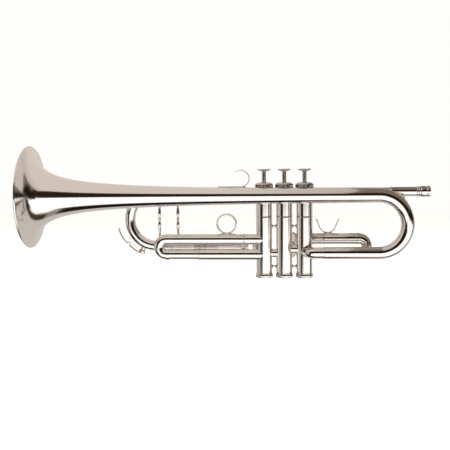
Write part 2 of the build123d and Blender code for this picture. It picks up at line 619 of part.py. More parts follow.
# ---------------------------------------------------------------- second slide
def second_place(distance, z):
    """A point along the second slide's direction from its valve's axis."""
    turn = radians(SECOND_TURN)
    return Vector(VALVE_X[1] + distance * sin(turn), distance * cos(turn), z)


def second_slide_sleeves():
    legs = []
    for z in (SLIDE_UP_Z, SLIDE_LOW_Z):
        mouth = second_place(SECOND_MOUTH, z)
        shell = tube(second_place(4, z), mouth, SLEEVE_R, SLEEVE_BORE_R)
        ring = tube(second_place(SECOND_MOUTH - END_RING_LENGTH, z), mouth, END_RING_R, SLEEVE_BORE_R)
        legs.append(shell + ring - valve_core(1))
    return Compound(legs)


def second_slide():
    """Two short inner legs, their crook and the pull knob on its end."""
    way = second_place(1, 0) - second_place(0, 0)
    place = Plane(origin=second_place(SECOND_REACH, SLIDE_MID_Z), x_dir=way, z_dir=way.cross(Vector(0, 0, 1)))
    bend = place * ThreePointArc((0, SLIDE_BOW_R), (SLIDE_BOW_R, 0), (0, -SLIDE_BOW_R))
    slide = pipe(bend, CROOK_R, BORE_R)
    for z in (SLIDE_UP_Z, SLIDE_LOW_Z):
        start, end = second_place(SECOND_LEG_START, z), second_place(SECOND_REACH, z)
        slide = slide + tube(start, end, INNER_R, BORE_R)
    tip = SECOND_REACH + SLIDE_BOW_R + BORE_R + 0.3
    neck = rod(second_place(tip, SLIDE_MID_Z), second_place(tip + 4, SLIDE_MID_Z), 1.6)
    knob = rod(second_place(tip + 3.4, SLIDE_MID_Z), second_place(tip + 6, SLIDE_MID_Z), 3.2)
    return slide + neck + knob


# ---------------------------------------------------------------- valves
def crossover(left, right, z):
    """A short tube between two neighbouring valves."""
    shell = tube((VALVE_X[left], 0, z), (VALVE_X[right], 0, z), CROSSOVER_R, CROSSOVER_BORE_R)
    return shell - valve_core(left) - valve_core(right)


def crossover_tubes():
    return Compound([crossover(2, 1, CROSSOVER_32_Z), crossover(1, 0, CROSSOVER_21_Z)])


def port(index, turn, z, radius, offset=0.0):
    """A rod that cuts a round opening through one side of a casing; turn is counted from +X towards +Y."""
    x = VALVE_X[index]
    way = Vector(cos(radians(turn)), sin(radians(turn)), 0)
    start = Vector(x, offset, z)
    return rod(start, start + way * PORT_REACH, radius)


def valve_ports(index):
    """Every opening of one valve: first, second or third."""
    slide_z = (SLIDE_UP_Z, SLIDE_LOW_Z)
    to_second = 90 - SECOND_TURN
    if index == 0:
        return [port(0, 180, CROSSOVER_21_Z, CROSSOVER_BORE_R), port(0, -TAIL_TURN, TAIL_Z, PORT_R),
                *[port(0, FIRST_TURN, z, SLANTED_PORT_R) for z in slide_z]]
    if index == 1:
        return [port(1, 180, CROSSOVER_32_Z, CROSSOVER_BORE_R), port(1, 0, CROSSOVER_21_Z, CROSSOVER_BORE_R),
                *[port(1, to_second, z, PORT_R) for z in slide_z]]
    return [port(2, 0, CROSSOVER_32_Z, CROSSOVER_BORE_R),
            port(2, 180 - THIRD_TURN, TUNING_LOW_Z, SLANTED_PORT_R),
            *[port(2, 180, z, PORT_R, THIRD_Y) for z in slide_z]]


def ring_post(x, low, high, outer, inner):
    """A tube standing along Z on a valve's axis."""
    return post(x, 0, low, high, outer) - post(x, 0, low, high, inner)


def lower_casing(index):
    """The bored barrel that the piston runs in, with an opening for each tube."""
    shell = ring_post(VALVE_X[index], CASING_LOW_Z, CASING_JOINT_Z, CASING_R, CASING_BORE_R)
    for opening in valve_ports(index):
        shell = shell - opening
    return shell


def upper_casings():
    """The three spring chambers on top of the bored barrels."""
    shells = []
    for x in VALVE_X:
        shell = post(x, 0, CASING_JOINT_Z, CASING_TOP_Z, CASING_R)
        bead = post(x, 0, CASING_JOINT_Z, CASING_JOINT_Z + 1.2, CASING_R + 0.25)
        shells.append(shell + bead - post(x, 0, CASING_JOINT_Z, CASING_TOP_Z, SPRING_CHAMBER_R))
    return Compound(shells)


def casing_spacers():
    """Short stays that hold the three casings apart."""
    bars = []
    for left, right in ((2, 1), (1, 0)):
        for z in SPACER_Z:
            bar = rod((VALVE_X[left], 0, z), (VALVE_X[right], 0, z), SPACER_R)
            bars.append(bar - valve_core(left) - valve_core(right))
    return Compound(bars)


def top_caps():
    """Screwed caps with a hole for the stem and a recess for a felt."""
    low, high = TOP_CAP_Z
    outside = [(low, CAP_FIT_R), (low, TOP_CAP_R - 0.8), (low + 0.8, TOP_CAP_R), (high - 2.0, TOP_CAP_R),
               (high - 0.7, TOP_CAP_R - 0.9), (high, TOP_CAP_R - 3.0)]
    recess = [(high, FELT_R), (high - FELT_DEPTH, FELT_R), (high - FELT_DEPTH, STEM_HOLE_R)]
    inside = [(CASING_TOP_Z + 0.02, STEM_HOLE_R), (CASING_TOP_Z + 0.02, CAP_FIT_R)]
    return Compound([lathe([*outside, *recess, *inside], x=x) for x in VALVE_X])


def cap_felts():
    """Soft washers: one in the recess of each top cap and one under it, to quieten the stroke."""
    felts = []
    for x in VALVE_X:
        felts.append(ring_post(x, TOP_CAP_Z[1] - FELT_DEPTH, TOP_CAP_Z[1], FELT_R, STEM_HOLE_R))
        felts.append(ring_post(x, BARREL_TOP_Z + 2.2, CASING_TOP_Z, STEM_CAP_R, STEM_HOLE_R))
    return Compound(felts)


def bottom_caps():
    """Screwed cups that close the casings, with a vent hole."""
    low, high = BOTTOM_CAP_Z
    vent_r, floor = 2.0, 1.4
    outside = [(low, vent_r), (low, 6.5), (low + 0.8, BOTTOM_CAP_R - 1.0), (low + 1.6, BOTTOM_CAP_R),
               (high - 0.5, BOTTOM_CAP_R), (high, BOTTOM_CAP_R - 0.5), (high, CAP_FIT_R)]
    inside = [(CASING_LOW_Z - 0.05, CAP_FIT_R), (CASING_LOW_Z - 0.05, CASING_BORE_R),
              (low + floor, CASING_BORE_R - 1), (low + floor, vent_r)]
    return Compound([lathe([*outside, *inside], x=x) for x in VALVE_X])


def valve_guides():
    """Each guide rests on the step in its casing and reaches through the barrel's two slots."""
    guides = []
    for x in VALVE_X:
        low, high = CASING_JOINT_Z, CASING_JOINT_Z + GUIDE_HEIGHT
        disc = post(x, 0, low, high, BARREL_BORE_R - 0.3)
        wings = Pos(x, 0, (low + high) / 2) * Box(4.0, 2 * SPRING_CHAMBER_R, GUIDE_HEIGHT)
        disc = disc + (wings & post(x, 0, low, high, SPRING_CHAMBER_R - 0.1))
        guides.append(disc - post(x, 0, low, high, 3.0))
    return Compound(guides)


def piston(index):
    """A hollow plunger crossed by three slanting air ways, with the slotted spring barrel on top."""
    x = VALVE_X[index]
    low, high = PISTON_Z
    top_plate, wall, way_r, way_bore_r = 1.5, 0.7, 5.9, 5.4
    limit = post(x, 0, low, high, PISTON_R)
    body = limit - post(x, 0, low, high - top_plate, PISTON_R - wall)
    for turn, z in ((10, -46.5), (70, -60.0), (130, -73.5)):
        way = Vector(cos(radians(turn)), sin(radians(turn)), 0.12)
        start, end = Vector(x, 0, z) - way * 12, Vector(x, 0, z) + way * 12
        body = body + (rod(start, end, way_r) & limit)
        body = body - rod(start, end, way_bore_r)
    barrel = post(x, 0, high - 0.5, BARREL_TOP_Z, BARREL_R) - post(x, 0, high, BARREL_TOP_Z, BARREL_BORE_R)
    slot_low, slot_high = CASING_JOINT_Z - 0.6, CASING_JOINT_Z + GUIDE_HEIGHT + VALVE_TRAVEL + 0.8
    slot = Pos(x, 0, (slot_low + slot_high) / 2) * Box(4.6, 30, slot_high - slot_low)
    return body + (barrel - slot)


def stem(index):
    """The rod from the button to the screwed cap of the spring barrel."""
    low, top = BARREL_TOP_Z, BUTTON_Z[0] + 1.4
    cap_top = low + STEM_CAP_HEIGHT
    profile = [(low, 0), (low, STEM_CAP_R), (cap_top, STEM_CAP_R), (cap_top, STEM_R), (top, STEM_R), (top, 0)]
    return lathe(profile, x=VALVE_X[index])


def finger_button(index):
    """A dished finger button screwed on the stem."""
    low, high = BUTTON_Z
    outside = [(low, STEM_R), (low, 3.4), (low + 0.6, 5.0), (high - 1.2, BUTTON_R - 0.2),
               (high - 0.5, BUTTON_R), (high, BUTTON_R - 0.5), (high, PEARL_R)]
    inside = [(high - 1.0, PEARL_R), (high - 1.0, 0), (low + 1.4, 0), (low + 1.4, STEM_R)]
    return lathe([*outside, *inside], x=VALVE_X[index])


def pearl_inlay(index):
    """The pearl disc set in the button, slightly hollow for the fingertip."""
    high = BUTTON_Z[1]
    return lathe([(high - 1.0, 0), (high - 1.0, PEARL_R), (high + 0.1, PEARL_R), (high - 0.2, 4.0),
                  (high - 0.3, 0)], x=VALVE_X[index])


def valve_spring(index):
    """The return spring between the guide and the stem's cap."""
    low, high = CASING_JOINT_Z + GUIDE_HEIGHT, BARREL_TOP_Z
    height = high - low - 2 * SPRING_WIRE_R - 0.1
    coil = Helix(pitch=height / SPRING_TURNS, height=height, radius=SPRING_R)
    wire = sweep(Plane(origin=coil @ 0, z_dir=coil % 0) * Circle(SPRING_WIRE_R), path=coil, is_frenet=True)
    return Pos(VALVE_X[index], 0, low + SPRING_WIRE_R + 0.05) * wire


# ---------------------------------------------------------------- the whole trumpet
def build_nodes():
    nodes = {
        "bell_flare": bell_flare(),
        "bell_stem": bell_stem(),
        "bell_rim": bell_rim(),
        "bell_bow": bell_bow(),
        "ferrules": ferrules(),
        "first_valve_elbow": first_valve_elbow(),
        "leadpipe": leadpipe(),
        "mouthpiece_receiver": mouthpiece_receiver(),
        "rear_brace": rear_brace(),
        "front_brace": front_brace(),
        "finger_hook": finger_hook(),
        "tuning_sleeve_upper": tuning_sleeve_upper(),
        "tuning_sleeve_lower": tuning_sleeve_lower(),
        "tuning_sleeve_brace": tuning_sleeve_brace(),
        "tuning_bow": tuning_bow(),
        "tuning_slide_ferrules": tuning_slide_ferrules(),
        "tuning_slide_legs": tuning_slide_legs(),
        "tuning_bow_brace": tuning_bow_brace(),
        "water_key_mount": water_key_mount(),
        "water_key_lever": water_key_lever(),
        "water_key_cork": water_key_cork(),
        "third_slide_inner_tube": third_slide_inner_tube(),
        "third_slide_lower_sleeve": third_slide_lower_sleeve(),
        "third_slide_bow": third_slide_bow(),
        "third_slide_upper_sleeve": third_slide_upper_sleeve(),
        "finger_ring": finger_ring(),
        "third_slide_stop_rod": third_slide_stop_rod(),
        "third_slide_stop_nuts": third_slide_stop_nuts(),
        "first_slide_inner_tube": first_slide_inner_tube(),
        "first_slide_lower_sleeve": first_slide_lower_sleeve(),
        "first_slide_bow": first_slide_bow(),
        "first_slide_upper_sleeve": first_slide_upper_sleeve(),
        "thumb_saddle": thumb_saddle(),
        "second_slide_sleeves": second_slide_sleeves(),
        "second_slide": second_slide(),
        "crossover_tubes": crossover_tubes(),
        "upper_casings": upper_casings(),
        "casing_spacers": casing_spacers(),
        "top_caps": top_caps(),
        "cap_felts": cap_felts(),
        "bottom_caps": bottom_caps(),
        "valve_guides": valve_guides(),
    }
    for index, name in enumerate(VALVE_NAMES):
        nodes["lower_casing_" + name] = lower_casing(index)
        nodes["piston_" + name] = piston(index)
        nodes["stem_" + name] = stem(index)
        nodes["finger_button_" + name] = finger_button(index)
        nodes["pearl_inlay_" + name] = pearl_inlay(index)
        nodes["valve_spring_" + name] = valve_spring(index)
    return nodes


def main():
    os.makedirs("parts", exist_ok=True)
    to_receiver = Pos(-MOUTH_X, -LEAD_Y, 0)
    for name, solid in build_nodes().items():
        export_step(to_receiver * solid, "parts/" + name + ".step")


if __name__ == "__main__":
    main()
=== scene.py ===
"""Looks of a nickel-plated trumpet, laid out as an add-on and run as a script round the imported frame."""
import json
from math import atan2, cos, degrees, pi, radians, sin, sqrt, tau

import bmesh
import bpy
from mathutils import Matrix, Vector


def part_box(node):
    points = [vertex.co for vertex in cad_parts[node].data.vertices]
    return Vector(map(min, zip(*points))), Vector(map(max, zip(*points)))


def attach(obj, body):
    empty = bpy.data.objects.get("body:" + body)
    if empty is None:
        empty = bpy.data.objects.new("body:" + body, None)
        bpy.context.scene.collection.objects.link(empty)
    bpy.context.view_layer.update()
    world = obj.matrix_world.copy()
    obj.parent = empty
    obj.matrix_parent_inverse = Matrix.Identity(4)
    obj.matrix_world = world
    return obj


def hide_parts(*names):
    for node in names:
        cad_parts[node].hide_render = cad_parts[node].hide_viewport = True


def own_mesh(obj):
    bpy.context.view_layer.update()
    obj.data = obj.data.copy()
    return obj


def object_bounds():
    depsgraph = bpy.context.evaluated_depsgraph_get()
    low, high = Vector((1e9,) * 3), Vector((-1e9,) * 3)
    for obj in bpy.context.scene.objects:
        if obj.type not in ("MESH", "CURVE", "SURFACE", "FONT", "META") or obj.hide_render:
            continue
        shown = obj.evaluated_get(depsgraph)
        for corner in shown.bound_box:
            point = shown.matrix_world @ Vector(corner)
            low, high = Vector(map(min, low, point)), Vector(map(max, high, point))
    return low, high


bl_info = {
    "name": "Nickel trumpet",
    "version": (1, 0, 0),
    "blender": (4, 5, 0),
    "location": "3D View > Sidebar > Trumpet",
    "description": "Builds the polished skins, fittings, metals and studio of a piston trumpet",
    "category": "Object",
}

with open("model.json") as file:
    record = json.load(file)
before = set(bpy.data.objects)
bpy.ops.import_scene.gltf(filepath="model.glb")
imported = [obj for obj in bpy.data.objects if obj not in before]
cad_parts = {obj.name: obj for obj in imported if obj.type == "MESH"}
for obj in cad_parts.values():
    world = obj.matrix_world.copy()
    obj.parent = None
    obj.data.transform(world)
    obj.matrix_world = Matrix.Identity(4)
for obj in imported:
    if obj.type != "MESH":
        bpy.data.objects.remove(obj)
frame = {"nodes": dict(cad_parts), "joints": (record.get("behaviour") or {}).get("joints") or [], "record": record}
CAD_BOX = [list(corner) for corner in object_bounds()]
MM = 0.001
ROOT = "instrument"
VALVES = ("1", "2", "3")


# ---------------------------------------------------------------- settings
class TrumpetSizes(bpy.types.PropertyGroup):
    """Sizes of the tubes and fittings, in millimetres."""
    bore: bpy.props.FloatProperty(name="Bore radius", description="Radius of the air way in the slides", default=5.7)
    inner: bpy.props.FloatProperty(name="Inner tube radius", description="Outside of an inner slide tube",
                                   default=6.1)
    sleeve_bore: bpy.props.FloatProperty(name="Sleeve bore", description="Inside of an outer slide tube",
                                         default=6.14)
    sleeve: bpy.props.FloatProperty(name="Sleeve radius", description="Outside of an outer slide tube",
                                    default=6.55)
    crook: bpy.props.FloatProperty(name="Crook radius", description="Outside of a bent crook", default=6.3)
    bead: bpy.props.FloatProperty(name="Mouth bead", description="How far the bead at a sleeve's mouth stands out",
                                  default=0.65)
    knuckle: bpy.props.FloatProperty(name="Elbow bend", description="Bend radius of the slides' elbows",
                                     default=14.0)
    tail_knuckle: bpy.props.FloatProperty(name="Bell elbow bend", description="Bend radius of the bell's elbow",
                                          default=9.0)
    casing: bpy.props.FloatProperty(name="Casing radius", description="Outside of a valve casing", default=9.6)
    wall: bpy.props.FloatProperty(name="Bell wall", description="Thickness of the bell", default=0.6)
    ring_facets: bpy.props.IntProperty(name="Tube facets", description="Facets round a slide tube", default=64)
    bell_facets: bpy.props.IntProperty(name="Bell facets", description="Facets round the bell", default=128)


class TrumpetColours(bpy.types.PropertyGroup):
    """Surface colours, as sRGB hex values."""
    nickel: bpy.props.StringProperty(name="Nickel plate", description="Polished nickel", default="EFE5DC")
    fittings: bpy.props.StringProperty(name="Fittings", description="Polished small fittings", default="E6DAD0")
    # Knurled caps: the same nickel, painted darker as the shade in the knurl's grooves.
    knurl: bpy.props.StringProperty(name="Knurled caps", description="Knurled nickel", default="CDBDB0")
    slide: bpy.props.StringProperty(name="Inner tubes", description="Drawn nickel silver", default="D8D0C2")
    monel: bpy.props.StringProperty(name="Pistons", description="Lapped monel", default="B9B4AA")
    steel: bpy.props.StringProperty(name="Springs", description="Spring wire", default="A9A8A4")
    pearl: bpy.props.StringProperty(name="Pearl", description="Mother-of-pearl", default="EFEAE0")
    felt: bpy.props.StringProperty(name="Felt", description="Pressed wool", default="2A2725")
    cork: bpy.props.StringProperty(name="Cork", description="Natural cork", default="A77B4C")
    nylon: bpy.props.StringProperty(name="Guides", description="Moulded nylon", default="E2DDCC")
    floor: bpy.props.StringProperty(name="Floor", description="Plain pale floor", default="FCFBF9")


def sizes():
    return bpy.context.scene.trumpet_sizes


def colours():
    return bpy.context.scene.trumpet_colours


# ---------------------------------------------------------------- materials
MARK_DEPTH, CELL_DEPTH = 0.00002, 0.0001   # relief of buffing marks, and of felt or cork, in metres


def linear(hex_value):
    """An sRGB hex value as linear colour."""
    parts = [int(hex_value[i:i + 2], 16) / 255 for i in (0, 2, 4)]
    return tuple(p / 12.92 if p <= 0.04045 else ((p + 0.055) / 1.055) ** 2.4 for p in parts) + (1.0,)


def shade(hex_value, factor):
    """The same colour, lighter or darker."""
    return tuple(min(1.0, c * factor) for c in linear(hex_value)[:3]) + (1.0,)


def add_node(tree, kind, settings=None, links=None):
    """One node, with its settings by attribute or socket name and its inputs linked."""
    node = tree.nodes.new(kind)
    for key, value in (settings or {}).items():
        if isinstance(key, str) and hasattr(node, key):
            setattr(node, key, value)
        else:
            node.inputs[key].default_value = value
    for key, source in (links or {}).items():
        tree.links.new(source, node.inputs[key])
    return node


def new_material(name):
    material = bpy.data.materials.new(name)
    material.use_nodes = True
    tree = material.node_tree
    tree.nodes.clear()
    return material, tree


def close_material(tree, shader):
    add_node(tree, "ShaderNodeOutputMaterial", links={"Surface": shader.outputs[0]})


def polished_metal(name, hex_value, roughness, haze_mm, scratch_mm, scratch_depth, tarnish):
    """Buffed plate: a mirror with a cloudy film, hairline buffing marks and slightly darker soft patches."""
    material, tree = new_material(name)
    place = add_node(tree, "ShaderNodeTexCoord")
    cloud = add_node(tree, "ShaderNodeTexNoise", {"Scale": 1 / (haze_mm * MM), "Detail": 3.0, "Roughness": 0.55},
                     {"Vector": place.outputs["Object"]})
    tint = add_node(tree, "ShaderNodeMix", {"data_type": "RGBA", 6: linear(hex_value), 7: shade(hex_value, tarnish)},
                    {"Factor": cloud.outputs["Fac"]})
    film = add_node(tree, "ShaderNodeMapRange", {"From Min": 0.35, "From Max": 0.75, "To Min": roughness,
                                                 "To Max": roughness * 1.7}, {"Value": cloud.outputs["Fac"]})
    grain = add_node(tree, "ShaderNodeTexNoise", {"Scale": 1 / (scratch_mm * MM), "Detail": 4.0},
                     {"Vector": place.outputs["Object"]})
    marks = add_node(tree, "ShaderNodeBump", {"Strength": scratch_depth, "Distance": MARK_DEPTH},
                     {"Height": grain.outputs["Fac"]})
    shader = add_node(tree, "ShaderNodeBsdfPrincipled", {"Metallic": 1.0},
                      {"Base Color": tint.outputs[2], "Roughness": film.outputs["Result"],
                       "Normal": marks.outputs["Normal"]})
    close_material(tree, shader)
    return material


def drawn_metal(name, hex_value, roughness, line_mm, stretch):
    """Drawn, lapped or wound metal: satin rather than mirror, with lines along the axis where stretch is small."""
    material, tree = new_material(name)
    place = add_node(tree, "ShaderNodeTexCoord")
    along = add_node(tree, "ShaderNodeMapping", {"Scale": stretch}, {"Vector": place.outputs["Object"]})
    lines = add_node(tree, "ShaderNodeTexNoise", {"Scale": 1 / (line_mm * MM), "Detail": 3.0},
                     {"Vector": along.outputs["Vector"]})
    film = add_node(tree, "ShaderNodeMapRange", {"To Min": roughness * 0.7, "To Max": roughness * 1.4},
                    {"Value": lines.outputs["Fac"]})
    tint = add_node(tree, "ShaderNodeMix", {"data_type": "RGBA", 6: linear(hex_value), 7: shade(hex_value, 0.86)},
                    {"Factor": lines.outputs["Fac"]})
    marks = add_node(tree, "ShaderNodeBump", {"Strength": 0.04, "Distance": MARK_DEPTH},
                     {"Height": lines.outputs["Fac"]})
    shader = add_node(tree, "ShaderNodeBsdfPrincipled", {"Metallic": 1.0},
                      {"Base Color": tint.outputs[2], "Roughness": film.outputs["Result"],
                       "Normal": marks.outputs["Normal"]})
    close_material(tree, shader)
    return material


def pearl_material():
    """Mother-of-pearl: thin curved layers in pale rose, green and cream under a polished face."""
    material, tree = new_material("pearl")
    place = add_node(tree, "ShaderNodeTexCoord")
    layers = add_node(tree, "ShaderNodeTexNoise", {"Scale": 1 / (5 * MM), "Detail": 4.0, "Distortion": 1.6},
                      {"Vector": place.outputs["Object"]})
    ramp = add_node(tree, "ShaderNodeValToRGB", links={"Fac": layers.outputs["Fac"]})
    ramp.color_ramp.elements[0].color = linear("DCE6DE")
    ramp.color_ramp.elements[0].position = 0.35
    ramp.color_ramp.elements[1].color = linear("F3DFDC")
    ramp.color_ramp.elements[1].position = 0.65
    middle = ramp.color_ramp.elements.new(0.5)
    middle.color = linear(colours().pearl)
    shader = add_node(tree, "ShaderNodeBsdfPrincipled", {"Roughness": 0.12, "Coat Weight": 0.6, "Coat Roughness": 0.05},
                      {"Base Color": ramp.outputs["Color"]})
    close_material(tree, shader)
    return material


def soft_material(name, hex_value, cell_mm, depth, roughness, dark):
    """Felt, cork or nylon: a matt body with cells, fibres or flow marks at their real size."""
    material, tree = new_material(name)
    place = add_node(tree, "ShaderNodeTexCoord")
    cells = add_node(tree, "ShaderNodeTexVoronoi", {"Scale": 1 / (cell_mm * MM)}, {"Vector": place.outputs["Object"]})
    tint = add_node(tree, "ShaderNodeMix", {"data_type": "RGBA", 6: shade(hex_value, dark), 7: linear(hex_value)},
                    {"Factor": cells.outputs["Distance"]})
    relief = add_node(tree, "ShaderNodeBump", {"Strength": depth, "Distance": CELL_DEPTH},
                      {"Height": cells.outputs["Distance"]})
    shader = add_node(tree, "ShaderNodeBsdfPrincipled", {"Roughness": roughness},
                      {"Base Color": tint.outputs[2], "Normal": relief.outputs["Normal"]})
    close_material(tree, shader)
    return material


def floor_material():
    """Plain pale paper, with the faintest mottle of its fibres."""
    material, tree = new_material("pale_paper")
    place = add_node(tree, "ShaderNodeTexCoord")
    mottle = add_node(tree, "ShaderNodeTexNoise", {"Scale": 3.0, "Detail": 2.0}, {"Vector": place.outputs["Object"]})
    tint = add_node(tree, "ShaderNodeMix", {"data_type": "RGBA", 6: linear(colours().floor),
                                            7: shade(colours().floor, 0.995)}, {"Factor": mottle.outputs["Fac"]})
    shader = add_node(tree, "ShaderNodeBsdfPrincipled",
                      {"Roughness": 1.0, "Specular IOR Level": 0.0, "Emission Color": linear(colours().floor),
                       "Emission Strength": 0.8}, {"Base Color": tint.outputs[2]})
    close_material(tree, shader)
    return material


def make_materials():
    """Every finish of the trumpet, by the record's slot."""
    c = colours()
    # Plate on bell, tubes and casings: a clear mirror, so the long dark and white bands stay crisp.
    polished_metal("polished_nickel", c.nickel, 0.035, 45.0, 0.6, 0.05, 0.965)
    # Plate on stays, buttons, hook and key: its reflections are a little softer than the tubes'.
    polished_metal("polished_fittings", c.fittings, 0.07, 20.0, 0.5, 0.08, 0.93)
    # Knurled caps: a rougher, more mottled plate, with its colour darkened as painted shade of the knurl's grooves, so
    # it reads as a darker, duller band.
    polished_metal("knurled_nickel", c.knurl, 0.16, 6.0, 0.4, 0.2, 0.75)
    # Inner slide tubes: drawn nickel silver, yellower than the plate, with faint lines along them.
    drawn_metal("nickel_silver", c.slide, 0.16, 0.5, (0.04, 1, 1))
    # Pistons: grey monel with an upright lapped grain that blurs every reflection.
    drawn_metal("lapped_monel", c.monel, 0.28, 0.5, (1, 1, 0.2))
    # Springs: plain grey wire with a fine mottle, duller than any tube.
    drawn_metal("spring_steel", c.steel, 0.3, 0.3, (1, 1, 1))
    # Button faces: cloudy cream, rose and green under a glassy face.
    pearl_material()
    # Cap felts: matt black wool that swallows the light.
    soft_material("felt", c.felt, 0.5, 0.9, 0.95, 0.5)
    # Water key's seal: speckled tan cells.
    soft_material("cork", c.cork, 0.9, 0.7, 0.8, 0.55)
    # Valve guides: smooth ivory plastic, with the faint flow marks of its mould.
    soft_material("guide_nylon", c.nylon, 3.0, 0.1, 0.45, 0.94)


# ---------------------------------------------------------------- mesh helpers
def box_mm(node):
    """A CAD node's lowest and highest corners in millimetres."""
    low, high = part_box(node)
    return low / MM, high / MM


def joint_named(name):
    """The frame's entry for a joint."""
    return next(joint for joint in frame["joints"] if joint["name"] == name)


def centre_mm(node):
    low, high = box_mm(node)
    return (low + high) / 2


class Route:
    """The stations of a bent tube or strap. Each has a place, a heading (its local Z) and a side (its local X)."""

    def __init__(self, start, heading, side, width=1.0, depth=None):
        heading, side = Vector(heading).normalized(), Vector(side).normalized()
        turned_side = heading.cross(side)
        self.here = Matrix((side, turned_side, heading)).transposed().to_4x4()
        self.here.translation = Vector(start)
        self.size = (width, width if depth is None else depth)
        self.stations = []
        self.mark()

    def mark(self):
        self.stations.append(self.here @ Matrix.Diagonal((*self.size, 1.0, 1.0)))

    def grow(self, start, width, share):
        """Mark a station whose ring is part of the way from its start size to a new width."""
        if width is not None:
            grown = start[0] + (width - start[0]) * share
            self.size = (grown, start[1] * grown / start[0])
        self.mark()

    def run(self, length, steps=1, width=None):
        """Go straight on, to a new width if one is given."""
        start = self.size
        for i in range(1, steps + 1):
            self.here = self.here @ Matrix.Translation((0, 0, length / steps))
            self.grow(start, width, i / steps)
        return self

    def turn(self, radius, angle, steps=16, width=None):
        """Bend towards the side, or away from it where the angle is negative."""
        start = self.size
        reach = radius if angle > 0 else -radius
        for i in range(1, steps + 1):
            self.here = (self.here @ Matrix.Translation((reach, 0, 0))
                         @ Matrix.Rotation(radians(angle) / steps, 4, "Y") @ Matrix.Translation((-reach, 0, 0)))
            self.grow(start, width, i / steps)
        return self


def sweep(bm, stations, facets, flat=False, closed=False):
    """Extrude a round or four-sided ring from station to station."""
    if flat:
        verts = bmesh.ops.create_grid(bm, x_segments=1, y_segments=1, size=0.5)["verts"]
        bmesh.ops.delete(bm, geom=list({f for v in verts for f in v.link_faces}), context="FACES_ONLY")
    else:
        verts = bmesh.ops.create_circle(bm, segments=facets, radius=1.0)["verts"]
    ring = set(verts)
    edges = [e for e in bm.edges if e.verts[0] in ring and e.verts[1] in ring]
    bmesh.ops.transform(bm, matrix=stations[0], verts=verts)
    ends = [edges]
    previous = stations[0]
    for station in stations[1:]:
        grown = bmesh.ops.extrude_edge_only(bm, edges=edges)["geom"]
        verts = [g for g in grown if isinstance(g, bmesh.types.BMVert)]
        ring = set(verts)
        edges = [g for g in grown if isinstance(g, bmesh.types.BMEdge) and g.verts[0] in ring and g.verts[1] in ring]
        bmesh.ops.transform(bm, matrix=station @ previous.inverted(), verts=verts)
        previous = station
    ends.append(edges)
    if closed:
        for end in ends:
            bmesh.ops.contextual_create(bm, geom=end)


def turn_profile(bm, profile, facets, closed=True):
    """Spin an outline of (distance along, radius) round Z."""
    verts = [bm.verts.new((radius, 0, along)) for along, radius in profile]
    pairs = list(zip(verts, verts[1:]))
    if closed:
        pairs.append((verts[-1], verts[0]))
    edges = [bm.edges.new(pair) for pair in pairs]
    bmesh.ops.spin(bm, geom=verts + edges, cent=(0, 0, 0), axis=(0, 0, 1), angle=tau, steps=facets, use_merge=True)
    bmesh.ops.remove_doubles(bm, verts=bm.verts, dist=1e-4)


def along(start, heading):
    """A place whose local Z points along heading."""
    matrix = Vector(heading).to_track_quat("Z", "Y").to_matrix().to_4x4()
    matrix.translation = Vector(start)
    return matrix


def guarded(profile):
    """The outline with a narrow ring at each end of its long faces, which keeps their shading straight."""
    full = []
    long_face, ring = 1.2, 0.2
    for (a, r), (b, t) in zip(profile, profile[1:]):
        full.append((a, r))
        gap = sqrt((b - a) ** 2 + (t - r) ** 2)
        if gap > long_face:
            step = ring / gap
            full += [(a + (b - a) * step, r + (t - r) * step), (b - (b - a) * step, t - (t - r) * step)]
    return full + [profile[-1]]


def turned(profile, start, heading, facets=64, closed=True):
    """A lathe-turned solid as its own bmesh."""
    bm = bmesh.new()
    turn_profile(bm, guarded(profile), facets, closed)
    bmesh.ops.transform(bm, matrix=along(start, heading), verts=bm.verts)
    return bm


def guard_ring(end, neighbour):
    """The ring just inside an end of a sweep, never more than a third of the way to the next one."""
    gap = (neighbour.translation - end.translation).length
    return end.lerp(neighbour, min(0.3 / gap, 0.33))


def swept(route, facets=64, flat=False, closed=False):
    """A swept skin, with a narrow ring at each end that keeps the shading of the long faces straight."""
    first, *middle, last = route.stations
    after, before = (middle[0], middle[-1]) if middle else (last, first)
    bm = bmesh.new()
    sweep(bm, [first, guard_ring(first, after), *middle, guard_ring(last, before), last], facets, flat, closed)
    return bm


def merged(*parts):
    """Several bmeshes as one."""
    total = bmesh.new()
    for part in parts:
        mesh = bpy.data.meshes.new("part")
        part.to_mesh(mesh)
        part.free()
        total.from_mesh(mesh)
        bpy.data.meshes.remove(mesh)
    return total


def finish_piece(bm, name, body, slot, nodes, wall=0.0, bevel=0.0, sharp=35):
    """Turn a bmesh in millimetres into a smooth piece that rides on its body and stands for its CAD nodes."""
    bmesh.ops.remove_doubles(bm, verts=bm.verts, dist=1e-3)
    bmesh.ops.recalc_face_normals(bm, faces=bm.faces)
    bmesh.ops.scale(bm, vec=(MM, MM, MM), verts=bm.verts)
    mesh = bpy.data.meshes.new(name)
    bm.to_mesh(mesh)
    bm.free()
    mesh.materials.append(bpy.data.materials[slot])
    mesh.shade_smooth()
    mesh.set_sharp_from_angle(angle=radians(sharp))
    piece = bpy.data.objects.new(name, mesh)
    bpy.context.scene.collection.objects.link(piece)
    if wall:
        shell = piece.modifiers.new("wall", "SOLIDIFY")
        shell.thickness = wall * MM
        shell.offset = -1.0
        shell.use_even_offset = True
    if bevel:
        edge = piece.modifiers.new("edges", "BEVEL")
        edge.width = bevel * MM
        edge.segments = 2
        edge.limit_method = "ANGLE"
        edge.angle_limit = radians(sharp)
        edge.harden_normals = True
    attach(piece, body)
    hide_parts(*nodes)
    return piece


# ---------------------------------------------------------------- bell
BELL_FLARE, BELL_POWER, BELL_TAIL_GAIN = 8.0, 0.55, 0.9
RIM_INSET = 0.5      # how far the rim's wire sits inside the edge of the flare


